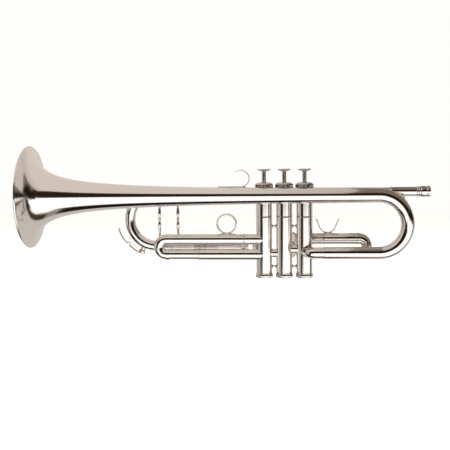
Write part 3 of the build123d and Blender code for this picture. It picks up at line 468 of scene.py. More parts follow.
def bell_radius(distance, rim, length):
    """Outside radius of the bell at a distance from its rim."""
    return rim * (1 + distance / BELL_FLARE) ** -BELL_POWER + BELL_TAIL_GAIN * (distance / length) ** 2


def build_bell():
    """The flare, tube, bow and tail as one unbroken skin, and the rolled rim."""
    s = sizes()
    low, high = box_mm("bell_flare")
    rim_low, rim_high = box_mm("bell_rim")
    bow_start = box_mm("bell_stem")[1].x
    leg_end = box_mm("bell_bow")[0].x
    elbow_low, elbow_high = box_mm("first_valve_elbow")
    axis = (low + high) / 2
    rim_x = low.x + s.wall
    length = bow_start - rim_x
    rim_r = (high.z - low.z) / 2
    leg_r = (elbow_high.z - elbow_low.z) / 2
    leg_z = (elbow_low.z + elbow_high.z) / 2
    rings = 110
    route = Route((rim_x, axis.y, axis.z), (1, 0, 0), (0, 0, -1), rim_r)
    done = 0.0
    for i in range(1, rings + 1):
        distance = BELL_FLARE * ((1 + length / BELL_FLARE) ** (i / rings) - 1)
        route.run(distance - done, width=bell_radius(distance, rim_r, length))
        done = distance
    route.turn((axis.z - leg_z) / 2, 180, 64, width=leg_r)
    route.run(bow_start - leg_end, 2)
    finish_piece(swept(route, s.bell_facets), "bell_shell", ROOT, "polished_nickel",
                 ("bell_flare", "bell_stem", "bell_bow"), wall=s.wall)
    bead, sides = (rim_high.z - rim_low.z) / 2 - rim_r + RIM_INSET, 20
    ring = [(bead * sin(tau * i / sides), rim_r - RIM_INSET + bead * cos(tau * i / sides)) for i in range(sides)]
    finish_piece(turned(ring, (rim_x - 0.3, axis.y, axis.z), (1, 0, 0), s.bell_facets),
                 "bell_rim_bead", ROOT, "polished_nickel", ("bell_rim",))


# ---------------------------------------------------------------- tubes
BELL_ELBOW_TURN, THIRD_ELBOW_TURN, FIRST_ELBOW_TURN = 75, 50, 40   # degrees from the leg towards the valve
THIRD_ELBOW_X, THIRD_COLLAR_X, FIRST_ELBOW_X = -222.7, -221.3, -130.7
LEADPIPE_THIN, LEADPIPE_WALL = 5.0, 0.45
CROSSOVER_R, CROSSOVER_BORE = 5.2, 4.7
SKIN_WALL, THIN_WALL, CROOK_WALL = 0.5, 0.45, 0.4


def tube_profile(length, outer, inner, beads=()):
    """A tube's wall, with a rounded bead at 'start' or 'end' of its length."""
    s = sizes()
    bead_length, steps = 1.8, 8
    turns = [pi * i / steps for i in range(steps + 1)]
    arc = [(bead_length * (1 - cos(turn)) / 2, outer + s.bead * sin(turn)) for turn in turns]
    first = arc if "start" in beads else [(0.0, outer)]
    last = [(length - a, r) for a, r in reversed(arc)] if "end" in beads else [(length, outer)]
    return [*first, *last, (length, inner), (0.0, inner)]


def straight_tube(start, heading, length, outer, inner, beads=()):
    """A turned tube wall."""
    return turned(tube_profile(length, outer, inner, beads), start, heading, sizes().ring_facets)


def knuckle(x, leg, turn, side, radius, bend):
    """An elbow that leaves a leg along X and goes into the valve whose axis is at x."""
    valve_y = centre_mm("lower_casing_1").y
    offset = leg.y - valve_y
    reach = (abs(offset) - bend * (1 - cos(radians(turn)))) / sin(radians(turn))
    start_x = x + side * (reach * cos(radians(turn)) + bend * sin(radians(turn)))
    towards = (0, -1 if offset > 0 else 1, 0)
    route = Route(leg, (-side, 0, 0), towards, radius)
    route.run(abs(start_x - leg.x)).turn(bend, turn, 20)
    inside = 0.6 * sizes().casing
    route.run(reach - inside, 2)
    return swept(route, sizes().ring_facets)


def build_fixed_tubes():
    """Leadpipe, sleeves, elbows, ferrules and crossovers."""
    s = sizes()
    valve = [centre_mm("lower_casing_" + n) for n in VALVES]
    elbow_low, elbow_high = box_mm("first_valve_elbow")
    leg_r = (elbow_high.z - elbow_low.z) / 2
    leg = Vector((elbow_high.x, elbow_low.y + leg_r, (elbow_low.z + elbow_high.z) / 2))
    finish_piece(knuckle(valve[0].x, leg, BELL_ELBOW_TURN, 1, leg_r, s.tail_knuckle), "first_valve_elbow_skin", ROOT,
                 "polished_nickel", ("first_valve_elbow",), wall=SKIN_WALL)

    lead_low, lead_high = box_mm("leadpipe")
    lead_y = (lead_low.y + lead_high.y) / 2
    back = box_mm("mouthpiece_receiver")[0].x
    thick, thin, wall = (lead_high.z - lead_low.z) / 2, LEADPIPE_THIN, LEADPIPE_WALL
    taper, length = back - lead_low.x, lead_high.x - lead_low.x
    pipe = [(0.0, thick), (taper, thin), (length, thin), (length, thin - wall), (taper, thin - wall),
            (0.0, thick - wall)]
    finish_piece(turned(pipe, (lead_low.x, lead_y, 0), (1, 0, 0)), "leadpipe_skin", ROOT, "polished_nickel",
                 ("leadpipe",))

    up_low, up_high = box_mm("tuning_sleeve_upper")
    down_low, down_high = box_mm("tuning_sleeve_lower")
    down = Vector((down_low.x, lead_y, (down_low.z + down_high.z) / 2))
    finish_piece(straight_tube((up_low.x, lead_y, 0), (1, 0, 0), up_high.x - up_low.x, s.sleeve, s.sleeve_bore,
                               ("start",)), "tuning_sleeve_upper_skin", ROOT, "polished_nickel",
                 ("tuning_sleeve_upper",))
    finish_piece(straight_tube(down, (1, 0, 0), THIRD_ELBOW_X - down.x, s.sleeve, s.sleeve_bore, ("start",)),
                 "tuning_sleeve_lower_skin", ROOT, "polished_nickel", ("tuning_sleeve_lower",))
    third = knuckle(valve[2].x, Vector((THIRD_ELBOW_X, lead_y, down.z)), THIRD_ELBOW_TURN, -1, s.sleeve, s.knuckle)
    finish_piece(third, "third_valve_elbow_skin", ROOT, "polished_nickel", (), wall=SKIN_WALL)
    band = turned(tube_profile(7.0, s.sleeve + 0.5, s.sleeve), (THIRD_ELBOW_X - 5, lead_y, down.z), (1, 0, 0))
    finish_piece(band, "third_valve_elbow_band", ROOT, "polished_nickel", (), bevel=0.2)

    ferrule_x = box_mm("ferrules")[0].x
    leg_band = [(0.0, leg_r), (0.0, leg_r + 0.15), (0.4, leg_r + 0.3), (3.6, leg_r + 0.3), (4.0, leg_r + 0.1),
                (4.0, leg_r)]
    lead_band = [(0.0, s.sleeve), (0.0, s.sleeve + 0.3), (1.2, s.sleeve + 0.6), (12.4, s.sleeve + 0.6),
                 (14.0, s.sleeve + 0.1), (14.0, thick), (8.0, thick), (8.0, s.sleeve)]
    finish_piece(merged(turned(leg_band, leg, (1, 0, 0)),
                        turned(lead_band, (ferrule_x, lead_y, 0), (1, 0, 0))),
                 "ferrule_bands", ROOT, "polished_nickel", ("ferrules",), bevel=0.15)

    low, high = box_mm("crossover_tubes")
    parts = []
    gap = sqrt(s.casing ** 2 - CROSSOVER_R ** 2)
    for left, right, z in ((2, 1, low.z + CROSSOVER_R), (1, 0, high.z - CROSSOVER_R)):
        start = valve[left].x + gap
        parts.append(straight_tube((start, valve[left].y, z), (1, 0, 0), valve[right].x - gap - start, CROSSOVER_R,
                                   CROSSOVER_BORE))
    finish_piece(merged(*parts), "crossover_skins", ROOT, "polished_nickel", ("crossover_tubes",))


def build_receiver():
    """The mouthpiece receiver: collar, ringed neck, bulged mouth and its tapered socket."""
    low, high = box_mm("mouthpiece_receiver")
    y, body = (low.y + high.y) / 2, 5.6
    mouth, throat, pipe = 5.4, 4.85, LEADPIPE_THIN
    throat_x = box_mm("leadpipe")[1].x
    collar = [(low.x, pipe), (low.x, body + 0.4), (low.x + 0.4, body + 0.7), (low.x + 1.4, body + 0.7),
              (low.x + 2.0, body)]
    rings = [(-16.0, body), (-15.8, body + 0.5), (-15.2, body + 0.75), (-14.6, body + 0.5), (-14.4, body - 0.1),
             (-13.6, body - 0.1), (-13.4, body + 0.5), (-12.8, body + 0.75), (-12.2, body + 0.5)]
    bulge = [(-11.6, body + 0.3), (-10.2, body + 0.8), (-8.6, body + 1.05), (-6.8, body + 1.05), (-5.6, body + 0.8),
             (-4.6, body + 0.5), (-4.0, body + 0.45)]
    lip = [(-3.7, body + 0.85), (-3.0, body + 1.05), (-0.8, body + 1.05), (-0.2, body + 0.8), (0.0, body + 0.4)]
    socket = [(0.0, mouth + 0.2), (-0.3, mouth), (-4.0, mouth), (throat_x + 0.5, throat),
              (throat_x + 0.5, pipe - LEADPIPE_WALL), (throat_x, pipe - LEADPIPE_WALL), (throat_x, pipe)]
    outline = [*collar, *rings, *bulge, *lip, *socket]
    finish_piece(turned(outline, (0, y, 0), (1, 0, 0)), "receiver_skin", ROOT, "polished_nickel",
                 ("mouthpiece_receiver",), bevel=0.12, sharp=40)


def bead_stay(start, end, radius, foot, foot_depth, bead):
    """A turned stay with a bead in its middle and a dished foot at each end."""
    span = (Vector(end) - Vector(start)).length
    middle = span / 2
    half = [(0.0, 0.0), (0.0, foot), (foot_depth * 0.35, foot), (foot_depth * 0.7, foot * 0.72), (foot_depth, radius),
            (middle * 0.75, radius * 0.85), (middle - 2.2, radius), (middle - 1.8, bead * 0.8), (middle - 1.0, bead)]
    other = [(span - a, r) for a, r in reversed(half)]
    return turned(half + other, start, Vector(end) - Vector(start), 32, closed=False)


def build_braces():
    """Stays between the bell and the leadpipe, and the short stays between the valve casings."""
    s = sizes()
    low, high = box_mm("front_brace")
    x, z = (low.x + high.x) / 2, (low.z + high.z) / 2
    finish_piece(bead_stay((x, low.y, z), (x, high.y, z), 1.7, 3.4, 3.4, 2.8), "front_brace_stay", ROOT,
                 "polished_fittings", ("front_brace",), bevel=0.15)
    low, high = box_mm("rear_brace")
    x = (low.x + high.x) / 2
    top, foot = Vector((x, -1.0, -5.0)), Vector((x, -33.5, -19.0))
    finish_piece(bead_stay(top, foot, 1.7, 3.0, 3.0, 2.5), "rear_brace_stay", ROOT, "polished_fittings",
                 ("rear_brace",), bevel=0.15)
    low, high = box_mm("casing_spacers")
    valve = [centre_mm("lower_casing_" + n) for n in VALVES]
    parts = []
    bar_r, sunk = 1.6, 0.2
    for left, right in ((2, 1), (1, 0)):
        for z in (low.z + bar_r, high.z - bar_r):
            start = Vector((valve[left].x + s.casing - sunk, valve[left].y, z))
            end = Vector((valve[right].x - s.casing + sunk, valve[right].y, z))
            length = (end - start).length
            outline = [(0, 0), (0, 2.6), (0.6, 2.2), (1.4, 1.4), (3.6, 1.4), (4.4, 2.2), (5.2, 2.6), (length, 2.6),
                       (length, 0)]
            parts.append(turned(outline, start, (1, 0, 0), 32, False))
    finish_piece(merged(*parts), "casing_stays", ROOT, "polished_fittings", ("casing_spacers",))


def upright_stay(node, body, name):
    """A turned upright stay of the main tuning slide, thinnest beside the bead in its middle."""
    low, high = box_mm(node)
    x, y = (low.x + high.x) / 2, (low.y + high.y) / 2
    half = (high.z - low.z) / 2
    bead = (high.x - low.x) / 2
    side = [(0.0, 0.0), (0.0, 2.5), (1.2, 2.5), (2.4, 1.9), (5.0, 1.35), (9.0, 1.3), (half - 9.5, 1.85),
            (half - 6.5, 2.0), (half - 4.4, 1.6), (half - 2.4, 1.15), (half - 1.9, 1.3), (half - 1.3, bead * 0.62),
            (half - 0.4, bead * 0.68)]
    profile = side + [(2 * half - a, r) for a, r in reversed(side)]
    finish_piece(turned(profile, (x, y, low.z), (0, 0, 1), 32, False), name, body, "polished_fittings", (node,),
                 bevel=0.1)


# ---------------------------------------------------------------- slides
def build_tuning_slide():
    """The main tuning slide: crook, ferrules and its upright stay, and the stay on the fixed sleeves."""
    s = sizes()
    low, high = box_mm("tuning_bow")
    y = (low.y + high.y) / 2
    top, bottom = high.z - s.crook, low.z + s.crook
    bow_r = (top - bottom) / 2
    straight = high.x - (low.x + s.crook + bow_r)
    route = Route((high.x, y, top), (-1, 0, 0), (0, 0, -1), s.crook)
    route.run(straight, 2).turn(bow_r, 180, 64).run(straight, 2)
    finish_piece(swept(route, s.ring_facets), "tuning_crook_skin", "tuning_slide", "polished_nickel", ("tuning_bow",),
                 wall=0.6)
    low, high = box_mm("tuning_slide_ferrules")
    length = high.x - low.x
    outline = [(0.0, s.inner), (0.0, s.crook + 0.1), (1.0, s.crook + 0.5), (2.0, s.sleeve + 0.1),
               (length - 3.0, s.sleeve + 0.2), (length - 2.4, s.sleeve + 0.3), (length - 0.5, s.sleeve + 0.3),
               (length, s.sleeve), (length, s.inner)]
    parts = [turned(outline, (low.x, y, z), (1, 0, 0)) for z in (top, bottom)]
    finish_piece(merged(*parts), "tuning_ferrule_skins", "tuning_slide", "polished_nickel",
                 ("tuning_slide_ferrules",), bevel=0.12)
    upright_stay("tuning_bow_brace", "tuning_slide", "tuning_crook_stay")
    upright_stay("tuning_sleeve_brace", ROOT, "tuning_sleeve_stay")


def build_third_slide():
    """The third slide: crook with its inner leg, the moving sleeve, the fixed sleeve and the stop rod's nuts."""
    s = sizes()
    low, high = box_mm("third_slide_bow")
    y = (low.y + high.y) / 2
    sleeve_low, sleeve_high = box_mm("third_slide_upper_sleeve")
    top = sleeve_high.z - s.sleeve - s.bead
    bottom = box_mm("third_slide_lower_sleeve")[0].z + s.sleeve + s.bead
    route = Route((sleeve_low.x, y, top), (-1, 0, 0), (0, 0, -1), s.crook)
    route.turn((top - bottom) / 2, 180, 40)
    crook = swept(route, s.ring_facets)
    leg = swept(Route((sleeve_low.x, y, bottom), (1, 0, 0), (0, 0, 1), s.inner).run(high.x - sleeve_low.x, 2),
                s.ring_facets)
    finish_piece(merged(crook, leg), "third_crook_skin", "third_slide", "polished_nickel", ("third_slide_bow",),
                 wall=CROOK_WALL)
    bands = [turned([(0, s.inner), (0, s.crook + 0.1), (0.5, s.sleeve + 0.2), (4.5, s.sleeve + 0.2),
                     (5.0, s.sleeve - 0.1), (5.0, s.inner)], (sleeve_low.x - 1, y, z), (1, 0, 0))
             for z in (top, bottom)]
    finish_piece(merged(*bands), "third_crook_bands", "third_slide", "polished_nickel", (), bevel=0.1)
    finish_piece(straight_tube((sleeve_low.x, y, top), (1, 0, 0), sleeve_high.x - sleeve_low.x, s.sleeve,
                               s.sleeve_bore, ("end",)), "third_moving_sleeve", "third_slide", "polished_nickel",
                 ("third_slide_upper_sleeve",))
    eye_z = (top + bottom) / 2
    ring_x = sleeve_high.x
    eye = [(0.0, 1.06), (0.0, 1.8), (0.4, 1.95), (2.0, 1.95), (2.4, 1.8), (2.4, 1.06)]
    neck = swept(Route((ring_x - 1.8, y, eye_z + 1.4), (0, 0, 1), (1, 0, 0), 2.2, 1.6).run(1.4), flat=True,
                 closed=True)
    finish_piece(merged(turned(eye, (ring_x - 3.0, y, eye_z), (1, 0, 0), 32), neck), "stop_eyelet", "third_slide",
                 "polished_fittings", (), bevel=0.12)
    fixed_low, fixed_high = box_mm("third_slide_lower_sleeve")
    finish_piece(straight_tube((fixed_low.x, y, bottom), (1, 0, 0), fixed_high.x - fixed_low.x - 1.0, s.sleeve,
                               s.sleeve_bore, ("start",)), "third_fixed_sleeve", ROOT, "polished_nickel",
                 ("third_slide_lower_sleeve",))
    length = fixed_high.x - THIRD_COLLAR_X - 1.0
    collar = [(0.0, s.inner), (0.0, s.sleeve - 0.1), (0.6, s.sleeve + 0.1), (length, s.sleeve), (length, s.inner)]
    finish_piece(turned(collar, (THIRD_COLLAR_X, y, top), (1, 0, 0)), "third_upper_collar", ROOT, "polished_nickel", ())
    low, high = box_mm("third_slide_stop_nuts")
    parts = []
    nut_end, lock_start, hole, dip = -266.7, -266.3, 1.0, 0.3
    for start, end, outer, groove in ((low.x, nut_end, 1.75, 0.9), (lock_start, high.x, 1.6, 2.6)):
        outline = [(0.0, hole), (0.0, outer - dip)]
        count = max(2, int((end - start) / groove))
        for i in range(count):
            middle = (end - start) * (i + 0.5) / count
            outline += [(middle - groove * 0.3, outer), (middle + groove * 0.3, outer),
                        (middle + groove * 0.45, outer - dip)]
        outline += [(end - start, outer - dip), (end - start, hole)]
        parts.append(turned(outline, (start, y, eye_z), (1, 0, 0), 32))
    finish_piece(merged(*parts), "stop_nut_skins", ROOT, "knurled_nickel", ("third_slide_stop_nuts",))


def build_first_slide():
    """The first slide: crook with its inner leg, the moving sleeve, and the fixed tubes and elbows."""
    s = sizes()
    sleeve_low, sleeve_high = box_mm("first_slide_upper_sleeve")
    bow_low, bow_high = box_mm("first_slide_bow")
    y = (bow_low.y + bow_high.y) / 2
    top, bottom = bow_high.z - s.crook, bow_low.z + s.crook
    valve_x = centre_mm("lower_casing_1").x
    route = Route((sleeve_high.x, y, top), (1, 0, 0), (0, 0, -1), s.crook)
    crook = swept(route.turn((top - bottom) / 2, 180, 40), s.ring_facets)
    leg = swept(Route((sleeve_high.x, y, bottom), (-1, 0, 0), (0, 0, 1), s.inner).run(sleeve_high.x - bow_low.x, 2),
                s.ring_facets)
    finish_piece(merged(crook, leg), "first_crook_skin", "first_slide", "polished_nickel", ("first_slide_bow",),
                 wall=CROOK_WALL)
    bands = [turned([(0, s.inner), (0, s.sleeve - 0.1), (0.5, s.sleeve + 0.2), (4.5, s.sleeve + 0.2),
                     (5.0, s.crook + 0.1), (5.0, s.inner)], (sleeve_high.x - 4, y, z), (1, 0, 0))
             for z in (top, bottom)]
    finish_piece(merged(*bands), "first_crook_bands", "first_slide", "polished_nickel", (), bevel=0.1)
    finish_piece(straight_tube((sleeve_low.x, y, top), (1, 0, 0), sleeve_high.x - sleeve_low.x, s.sleeve,
                               s.sleeve_bore, ("start",)), "first_moving_sleeve", "first_slide", "polished_nickel",
                 ("first_slide_upper_sleeve",))
    for name, start_x, z in (("first_upper_elbow", sleeve_low.x - 0.5, top),
                             ("first_lower_elbow", FIRST_ELBOW_X, bottom)):
        elbow = knuckle(valve_x, Vector((start_x, y, z)), FIRST_ELBOW_TURN, 1, s.sleeve, s.knuckle)
        finish_piece(elbow, name, ROOT, "polished_nickel", (), wall=THIN_WALL)
    length = box_mm("first_slide_lower_sleeve")[1].x - FIRST_ELBOW_X
    finish_piece(straight_tube((FIRST_ELBOW_X, y, bottom), (1, 0, 0), length, s.sleeve, s.sleeve_bore, ("end",)),
                 "first_fixed_sleeve", ROOT, "polished_nickel", ("first_slide_lower_sleeve",))


def build_second_slide():
    """The second slide, which leaves its valve on the leadpipe's side, with its pull knob."""
    s = sizes()
    way = Vector(joint_named("second_slide_pull")["axis"]).normalized()
    valve = centre_mm("lower_casing_2")
    low, high = box_mm("second_slide")
    top, bottom = high.z - s.crook, low.z + s.crook
    bow_r = (top - bottom) / 2
    reach, mouth, start = 28.0, 24.0, 11.0   # crook, sleeve's end and inner leg's end, from the valve's axis
    root = sqrt(s.casing ** 2 - s.sleeve ** 2)
    parts, legs = [], []
    for z in (top, bottom):
        origin = Vector((valve.x, valve.y, z))
        parts.append(straight_tube(origin + way * root, way, mouth - root, s.sleeve, s.sleeve_bore, ("end",)))
        legs.append(swept(Route(origin + way * start, way, (0, 0, 1), s.inner).run(reach - start, 2), s.ring_facets))
    finish_piece(merged(*parts), "second_sleeve_skins", ROOT, "polished_nickel", ("second_slide_sleeves",))
    place = Vector((valve.x, valve.y, top)) + way * reach
    crook = swept(Route(place, way, (0, 0, -1), s.crook).turn(bow_r, 180, 40), s.ring_facets)
    finish_piece(merged(crook, *legs), "second_crook_skin", "second_slide", "polished_nickel", ("second_slide",),
                 wall=CROOK_WALL)
    tip = Vector((valve.x, valve.y, (top + bottom) / 2)) + way * (reach + bow_r + s.bore + 0.2)
    knob = [(0.0, 0.0), (0.0, 2.6), (0.8, 2.4), (1.6, 1.5), (2.8, 1.4), (3.2, 2.6), (3.8, 3.2), (5.0, 3.1), (5.7, 2.2),
            (6.0, 0.0)]
    finish_piece(turned(knob, tip, way, 40, False), "second_pull_knob", "second_slide", "polished_fittings", (),
                 bevel=0.1)


# ---------------------------------------------------------------- straps and rings
STRAP_FACETS = 24


def build_finger_fittings():
    """The little finger's hook, the ring finger's ring and the thumb's saddle."""
    s = sizes()
    low, high = box_mm("finger_hook")
    y = (low.y + high.y) / 2
    thick, width, hook_r, toe = 1.5, 4.8, 10.0, 3.0
    centre_x = high.x - hook_r - thick / 2
    route = Route((low.x, y, s.sleeve + 0.35), (1, 0, 0), (0, 0, 1), thick * 0.3, width * 0.4)
    route.run(toe, 2, width=thick / 2).run(centre_x - low.x - toe, 4).turn(hook_r, 150, 36, width=thick * 0.45)
    route.turn(hook_r, 70, 18, width=thick * 0.31)
    finish_piece(swept(route, STRAP_FACETS, closed=True), "finger_hook_strap", ROOT, "polished_fittings",
                 ("finger_hook",), bevel=0.1)

    low, high = box_mm("finger_ring")
    y = (low.y + high.y) / 2
    wire, ring_r, sides = 1.1, 11.3, 16
    centre = Vector(((low.x + high.x) / 2, y, high.z - wire - ring_r))
    circle = [(wire * sin(tau * i / sides), ring_r + wire * cos(tau * i / sides)) for i in range(sides)]
    ring = turned(circle, centre, (0, 1, 0), 96)
    leg_z = centre_mm("third_slide_inner_tube").z
    foot = foot_plate(centre.x - 10, centre.x + 10, y, leg_z, s.sleeve, 0.75, 5.6)
    finish_piece(merged(ring, foot), "finger_ring_wire", "third_slide", "polished_fittings", ("finger_ring",),
                 bevel=0.1)

    low, high = box_mm("thumb_saddle")
    y = (low.y + high.y) / 2
    x = (low.x + high.x) / 2
    leg_z = box_mm("first_slide_upper_sleeve")[0].z + s.sleeve + s.bead
    tilt, lip_turn, cup_r, thick = 68, -32, 10.0, 1.6
    arms = []
    for side in (1, -1):
        route = Route((x, y, leg_z + s.sleeve + thick / 2), (side, 0, 0), (0, 0, 1), thick / 2, 4.0)
        route.turn(cup_r, tilt, 18).run(8.0, 3).turn(6.0, lip_turn, 8, width=thick * 0.4)
        arms.append(swept(route, STRAP_FACETS, closed=True))
    foot = foot_plate(x - 3.5, x + 7.5, y, leg_z, s.sleeve, 0.8, 6.0)
    finish_piece(merged(*arms, foot), "thumb_saddle_strap", "first_slide", "polished_fittings",
                 ("thumb_saddle",), bevel=0.1)


def foot_plate(start, end, y, z, radius, thick, width):
    """A curved plate that lies on top of a tube, under a ring or a saddle."""
    bm = bmesh.new()
    for vert in bmesh.ops.create_grid(bm, x_segments=4, y_segments=8, size=0.5)["verts"]:
        across = width / radius * vert.co.y
        swell = radius + thick * (1.0 - (2 * abs(vert.co.x)) ** 6 * 0.5)
        vert.co = Vector((start + (end - start) * (vert.co.x + 0.5), y + swell * sin(across), z + swell * cos(across)))
    grown = bmesh.ops.extrude_face_region(bm, geom=list(bm.faces))["geom"]
    for vert in (g for g in grown if isinstance(g, bmesh.types.BMVert)):
        out = Vector((0, vert.co.y - y, vert.co.z - z)).normalized()
        vert.co = Vector((vert.co.x, y, z)) + out * radius
    return bm


# ---------------------------------------------------------------- water key
def build_water_key():
    """The water key: two-armed lever with its cup, the hinge lugs, screw and drain nipple, and the flat spring."""
    pivot = Vector(joint_named("water_key_hinge")["pos_m"]) / MM
    low, high = box_mm("tuning_bow")
    s = sizes()
    bow_r = (high.z - low.z) / 2 - s.crook
    centre = Vector((low.x + s.crook + bow_r, (low.y + high.y) / 2, (low.z + high.z) / 2))
    hinge_turn = degrees(atan2(-(pivot.z - centre.z), pivot.x - centre.x))
    hinge_r = (pivot - centre).length
    cup_turn, tip_turn, nipple_top = 115.0, 167.0, 41.6

    def out(turn):
        return Vector((cos(radians(turn)), 0, -sin(radians(turn))))

    def place(turn, distance, across=0.0):
        return centre + out(turn) * distance + Vector((0, across, 0))

    cup = turned([(1.0, 0.0), (1.0, 4.0), (1.3, 4.2), (4.2, 4.2), (4.8, 3.6), (5.0, 2.4), (5.1, 0.0)],
                 place(cup_turn, nipple_top), out(cup_turn), 40, False)
    hub = turned([(-2.7, 0.95), (-2.7, 2.0), (-2.4, 2.2), (2.4, 2.2), (2.7, 2.0), (2.7, 0.95)], pivot, (0, 1, 0), 40)
    start = place(hinge_turn, hinge_r + 1.3)
    arms = []
    for end, middle, width, thick in ((place(cup_turn, nipple_top + 4.2), place(127, hinge_r + 1.6), 4.4, 2.2),
                                      (place(tip_turn, 48.0), place(153, hinge_r + 3.0), 5.0, 1.7)):
        arms.append(bent_strap(start, middle, end, thick, width))
    finish_piece(merged(cup, hub, *arms), "water_key_arms", "water_key", "polished_fittings",
                 ("water_key_lever",), bevel=0.1)

    nipple = turned([(38.0, 1.7), (38.0, 3.4), (39.4, 2.9), (nipple_top - 0.3, 2.8), (nipple_top, 2.5),
                     (nipple_top, 1.7)], centre, out(cup_turn), 32)
    lugs = []
    for across in (-3.4, 3.4):
        route = Route(place(hinge_turn, 37.6, across), out(hinge_turn), (0, 1, 0), 1.2, 5.6)
        lugs.append(swept(route.run(5.0, 2, width=1.2).run(2.4, 1), flat=True, closed=True))
        lugs.append(turned([(-0.6, 0.9), (-0.6, 2.2), (-0.4, 2.35), (0.4, 2.35), (0.6, 2.2), (0.6, 0.9)],
                           place(hinge_turn, hinge_r, across), (0, 1, 0), 32))
    screw = turned([(-5.0, 0.0), (-5.0, 1.5), (-4.8, 1.75), (-4.1, 1.8), (-4.0, 0.9), (4.6, 0.9), (4.8, 0.6),
                    (4.8, 0.0)], pivot, (0, 1, 0), 32, False)
    spring = bent_strap(place(hinge_turn + 8, 39.4), place(hinge_turn + 2, 41.6), place(cup_turn + 9, nipple_top + 2.2),
                        0.35, 2.0)
    finish_piece(merged(nipple, *lugs, screw), "water_key_bracket", "tuning_slide", "polished_fittings",
                 ("water_key_mount",), bevel=0.15)
    finish_piece(spring, "water_key_spring", "tuning_slide", "spring_steel", ())


def bent_strap(start, middle, end, thick, width):
    """An oval strap along the curve through three points in an XZ plane."""
    steps = 14
    pull = 2 * middle - (start + end) / 2
    across = Vector((0, 1, 0))
    stations = []
    for i in range(steps + 1):
        t = i / steps
        heading = (pull - start) * 2 * (1 - t) + (end - pull) * 2 * t
        heading.normalize()
        matrix = Matrix((across.cross(heading), across, heading)).transposed().to_4x4()
        matrix.translation = start * (1 - t) ** 2 + pull * 2 * t * (1 - t) + end * t ** 2
        stations.append(matrix @ Matrix.Diagonal((thick / 2, width / 2, 1.0, 1.0)))
    bm = bmesh.new()
    sweep(bm, stations, STRAP_FACETS, closed=True)
    return bm


# ---------------------------------------------------------------- valves
KNURL_FACETS = 240


def knurl(bm, axis, low, high, least, depth):
    """Press upright grooves into a band, by moving its points in along a wave round it."""
    grooves = 60
    for vert in bm.verts:
        flat = Vector((vert.co.x - axis.x, vert.co.y - axis.y, 0))
        if low <= vert.co.z <= high and flat.length > least:
            wave = cos(atan2(flat.y, flat.x) * grooves)
            vert.co -= flat.normalized() * depth * (0.5 - 0.5 * wave)


def build_valve_casings():
    """The upper casings with their joint rings, and the knurled caps, top and bottom."""
    s = sizes()
    valve = [centre_mm("lower_casing_" + n) for n in VALVES]
    low, high = box_mm("upper_casings")
    length, bore, thread = high.z - low.z, 8.9, 9.62
    outline = [(0.0, s.casing - 0.15), (0.3, s.casing + 0.2), (1.0, s.casing + 0.25), (1.4, s.casing + 0.05),
               (1.7, s.casing), (length, s.casing), (length, bore), (0.0, bore)]
    upper = [turned(outline, (place.x, place.y, low.z), (0, 0, 1), 96) for place in valve]
    finish_piece(merged(*upper), "upper_casing_skins", ROOT, "polished_nickel", ("upper_casings",))

    cap_low, cap_high = box_mm("top_caps")
    cap_r = (cap_high.y - cap_low.y) / 2
    height = cap_high.z - cap_low.z
    outline = [(0.0, thread), (0.0, cap_r - 1.1), (0.5, cap_r - 0.7), (1.4, cap_r - 0.5), (2.0, cap_r - 0.6),
               (2.4, cap_r), (3.6, cap_r), (4.8, cap_r), (6.0, cap_r), (6.8, cap_r - 0.1), (7.3, cap_r - 0.7),
               (7.9, cap_r - 1.2), (8.6, cap_r - 2.6), (height, cap_r - 4.2), (height, 5.4), (height - 0.3, 5.2),
               (height - 0.8, 5.2), (height - 0.8, 2.95), (height - 1.98, 2.95), (height - 1.98, thread)]
    caps = []
    for place in valve:
        cap = turned(outline, (place.x, place.y, cap_low.z), (0, 0, 1), KNURL_FACETS)
        knurl(cap, place, cap_low.z + 2.3, cap_low.z + 6.9, cap_r - 0.4, 0.45)
        caps.append(cap)
    # The caps' darker finish is painted shade of their grooves.
    finish_piece(merged(*caps), "top_cap_skins", ROOT, "knurled_nickel", ("top_caps",), sharp=60)

    cup_low, cup_high = box_mm("bottom_caps")
    cup_r = (cup_high.y - cup_low.y) / 2
    height = cup_high.z - cup_low.z
    outline = [(0.0, 2.0), (0.0, 5.6), (0.35, 7.4), (0.9, cup_r - 1.5), (1.3, cup_r - 0.8), (1.7, cup_r - 0.5),
               (2.0, cup_r - 0.55), (2.3, cup_r), (3.4, cup_r), (4.6, cup_r), (5.0, cup_r - 0.4),
               (5.4, cup_r - 0.35), (height - 0.3, cup_r - 0.3), (height, cup_r - 0.6), (height, thread),
               (2.85, thread), (2.85, 8.45), (1.4, 7.45), (1.4, 2.0)]
    cups = []
    for place in valve:
        cup = turned(outline, (place.x, place.y, cup_low.z), (0, 0, 1), KNURL_FACETS)
        knurl(cup, place, cup_low.z + 2.2, cup_low.z + 4.7, cup_r - 0.2, 0.3)
        cups.append(cup)
    finish_piece(merged(*cups), "bottom_cap_skins", ROOT, "polished_nickel", ("bottom_caps",), sharp=60)


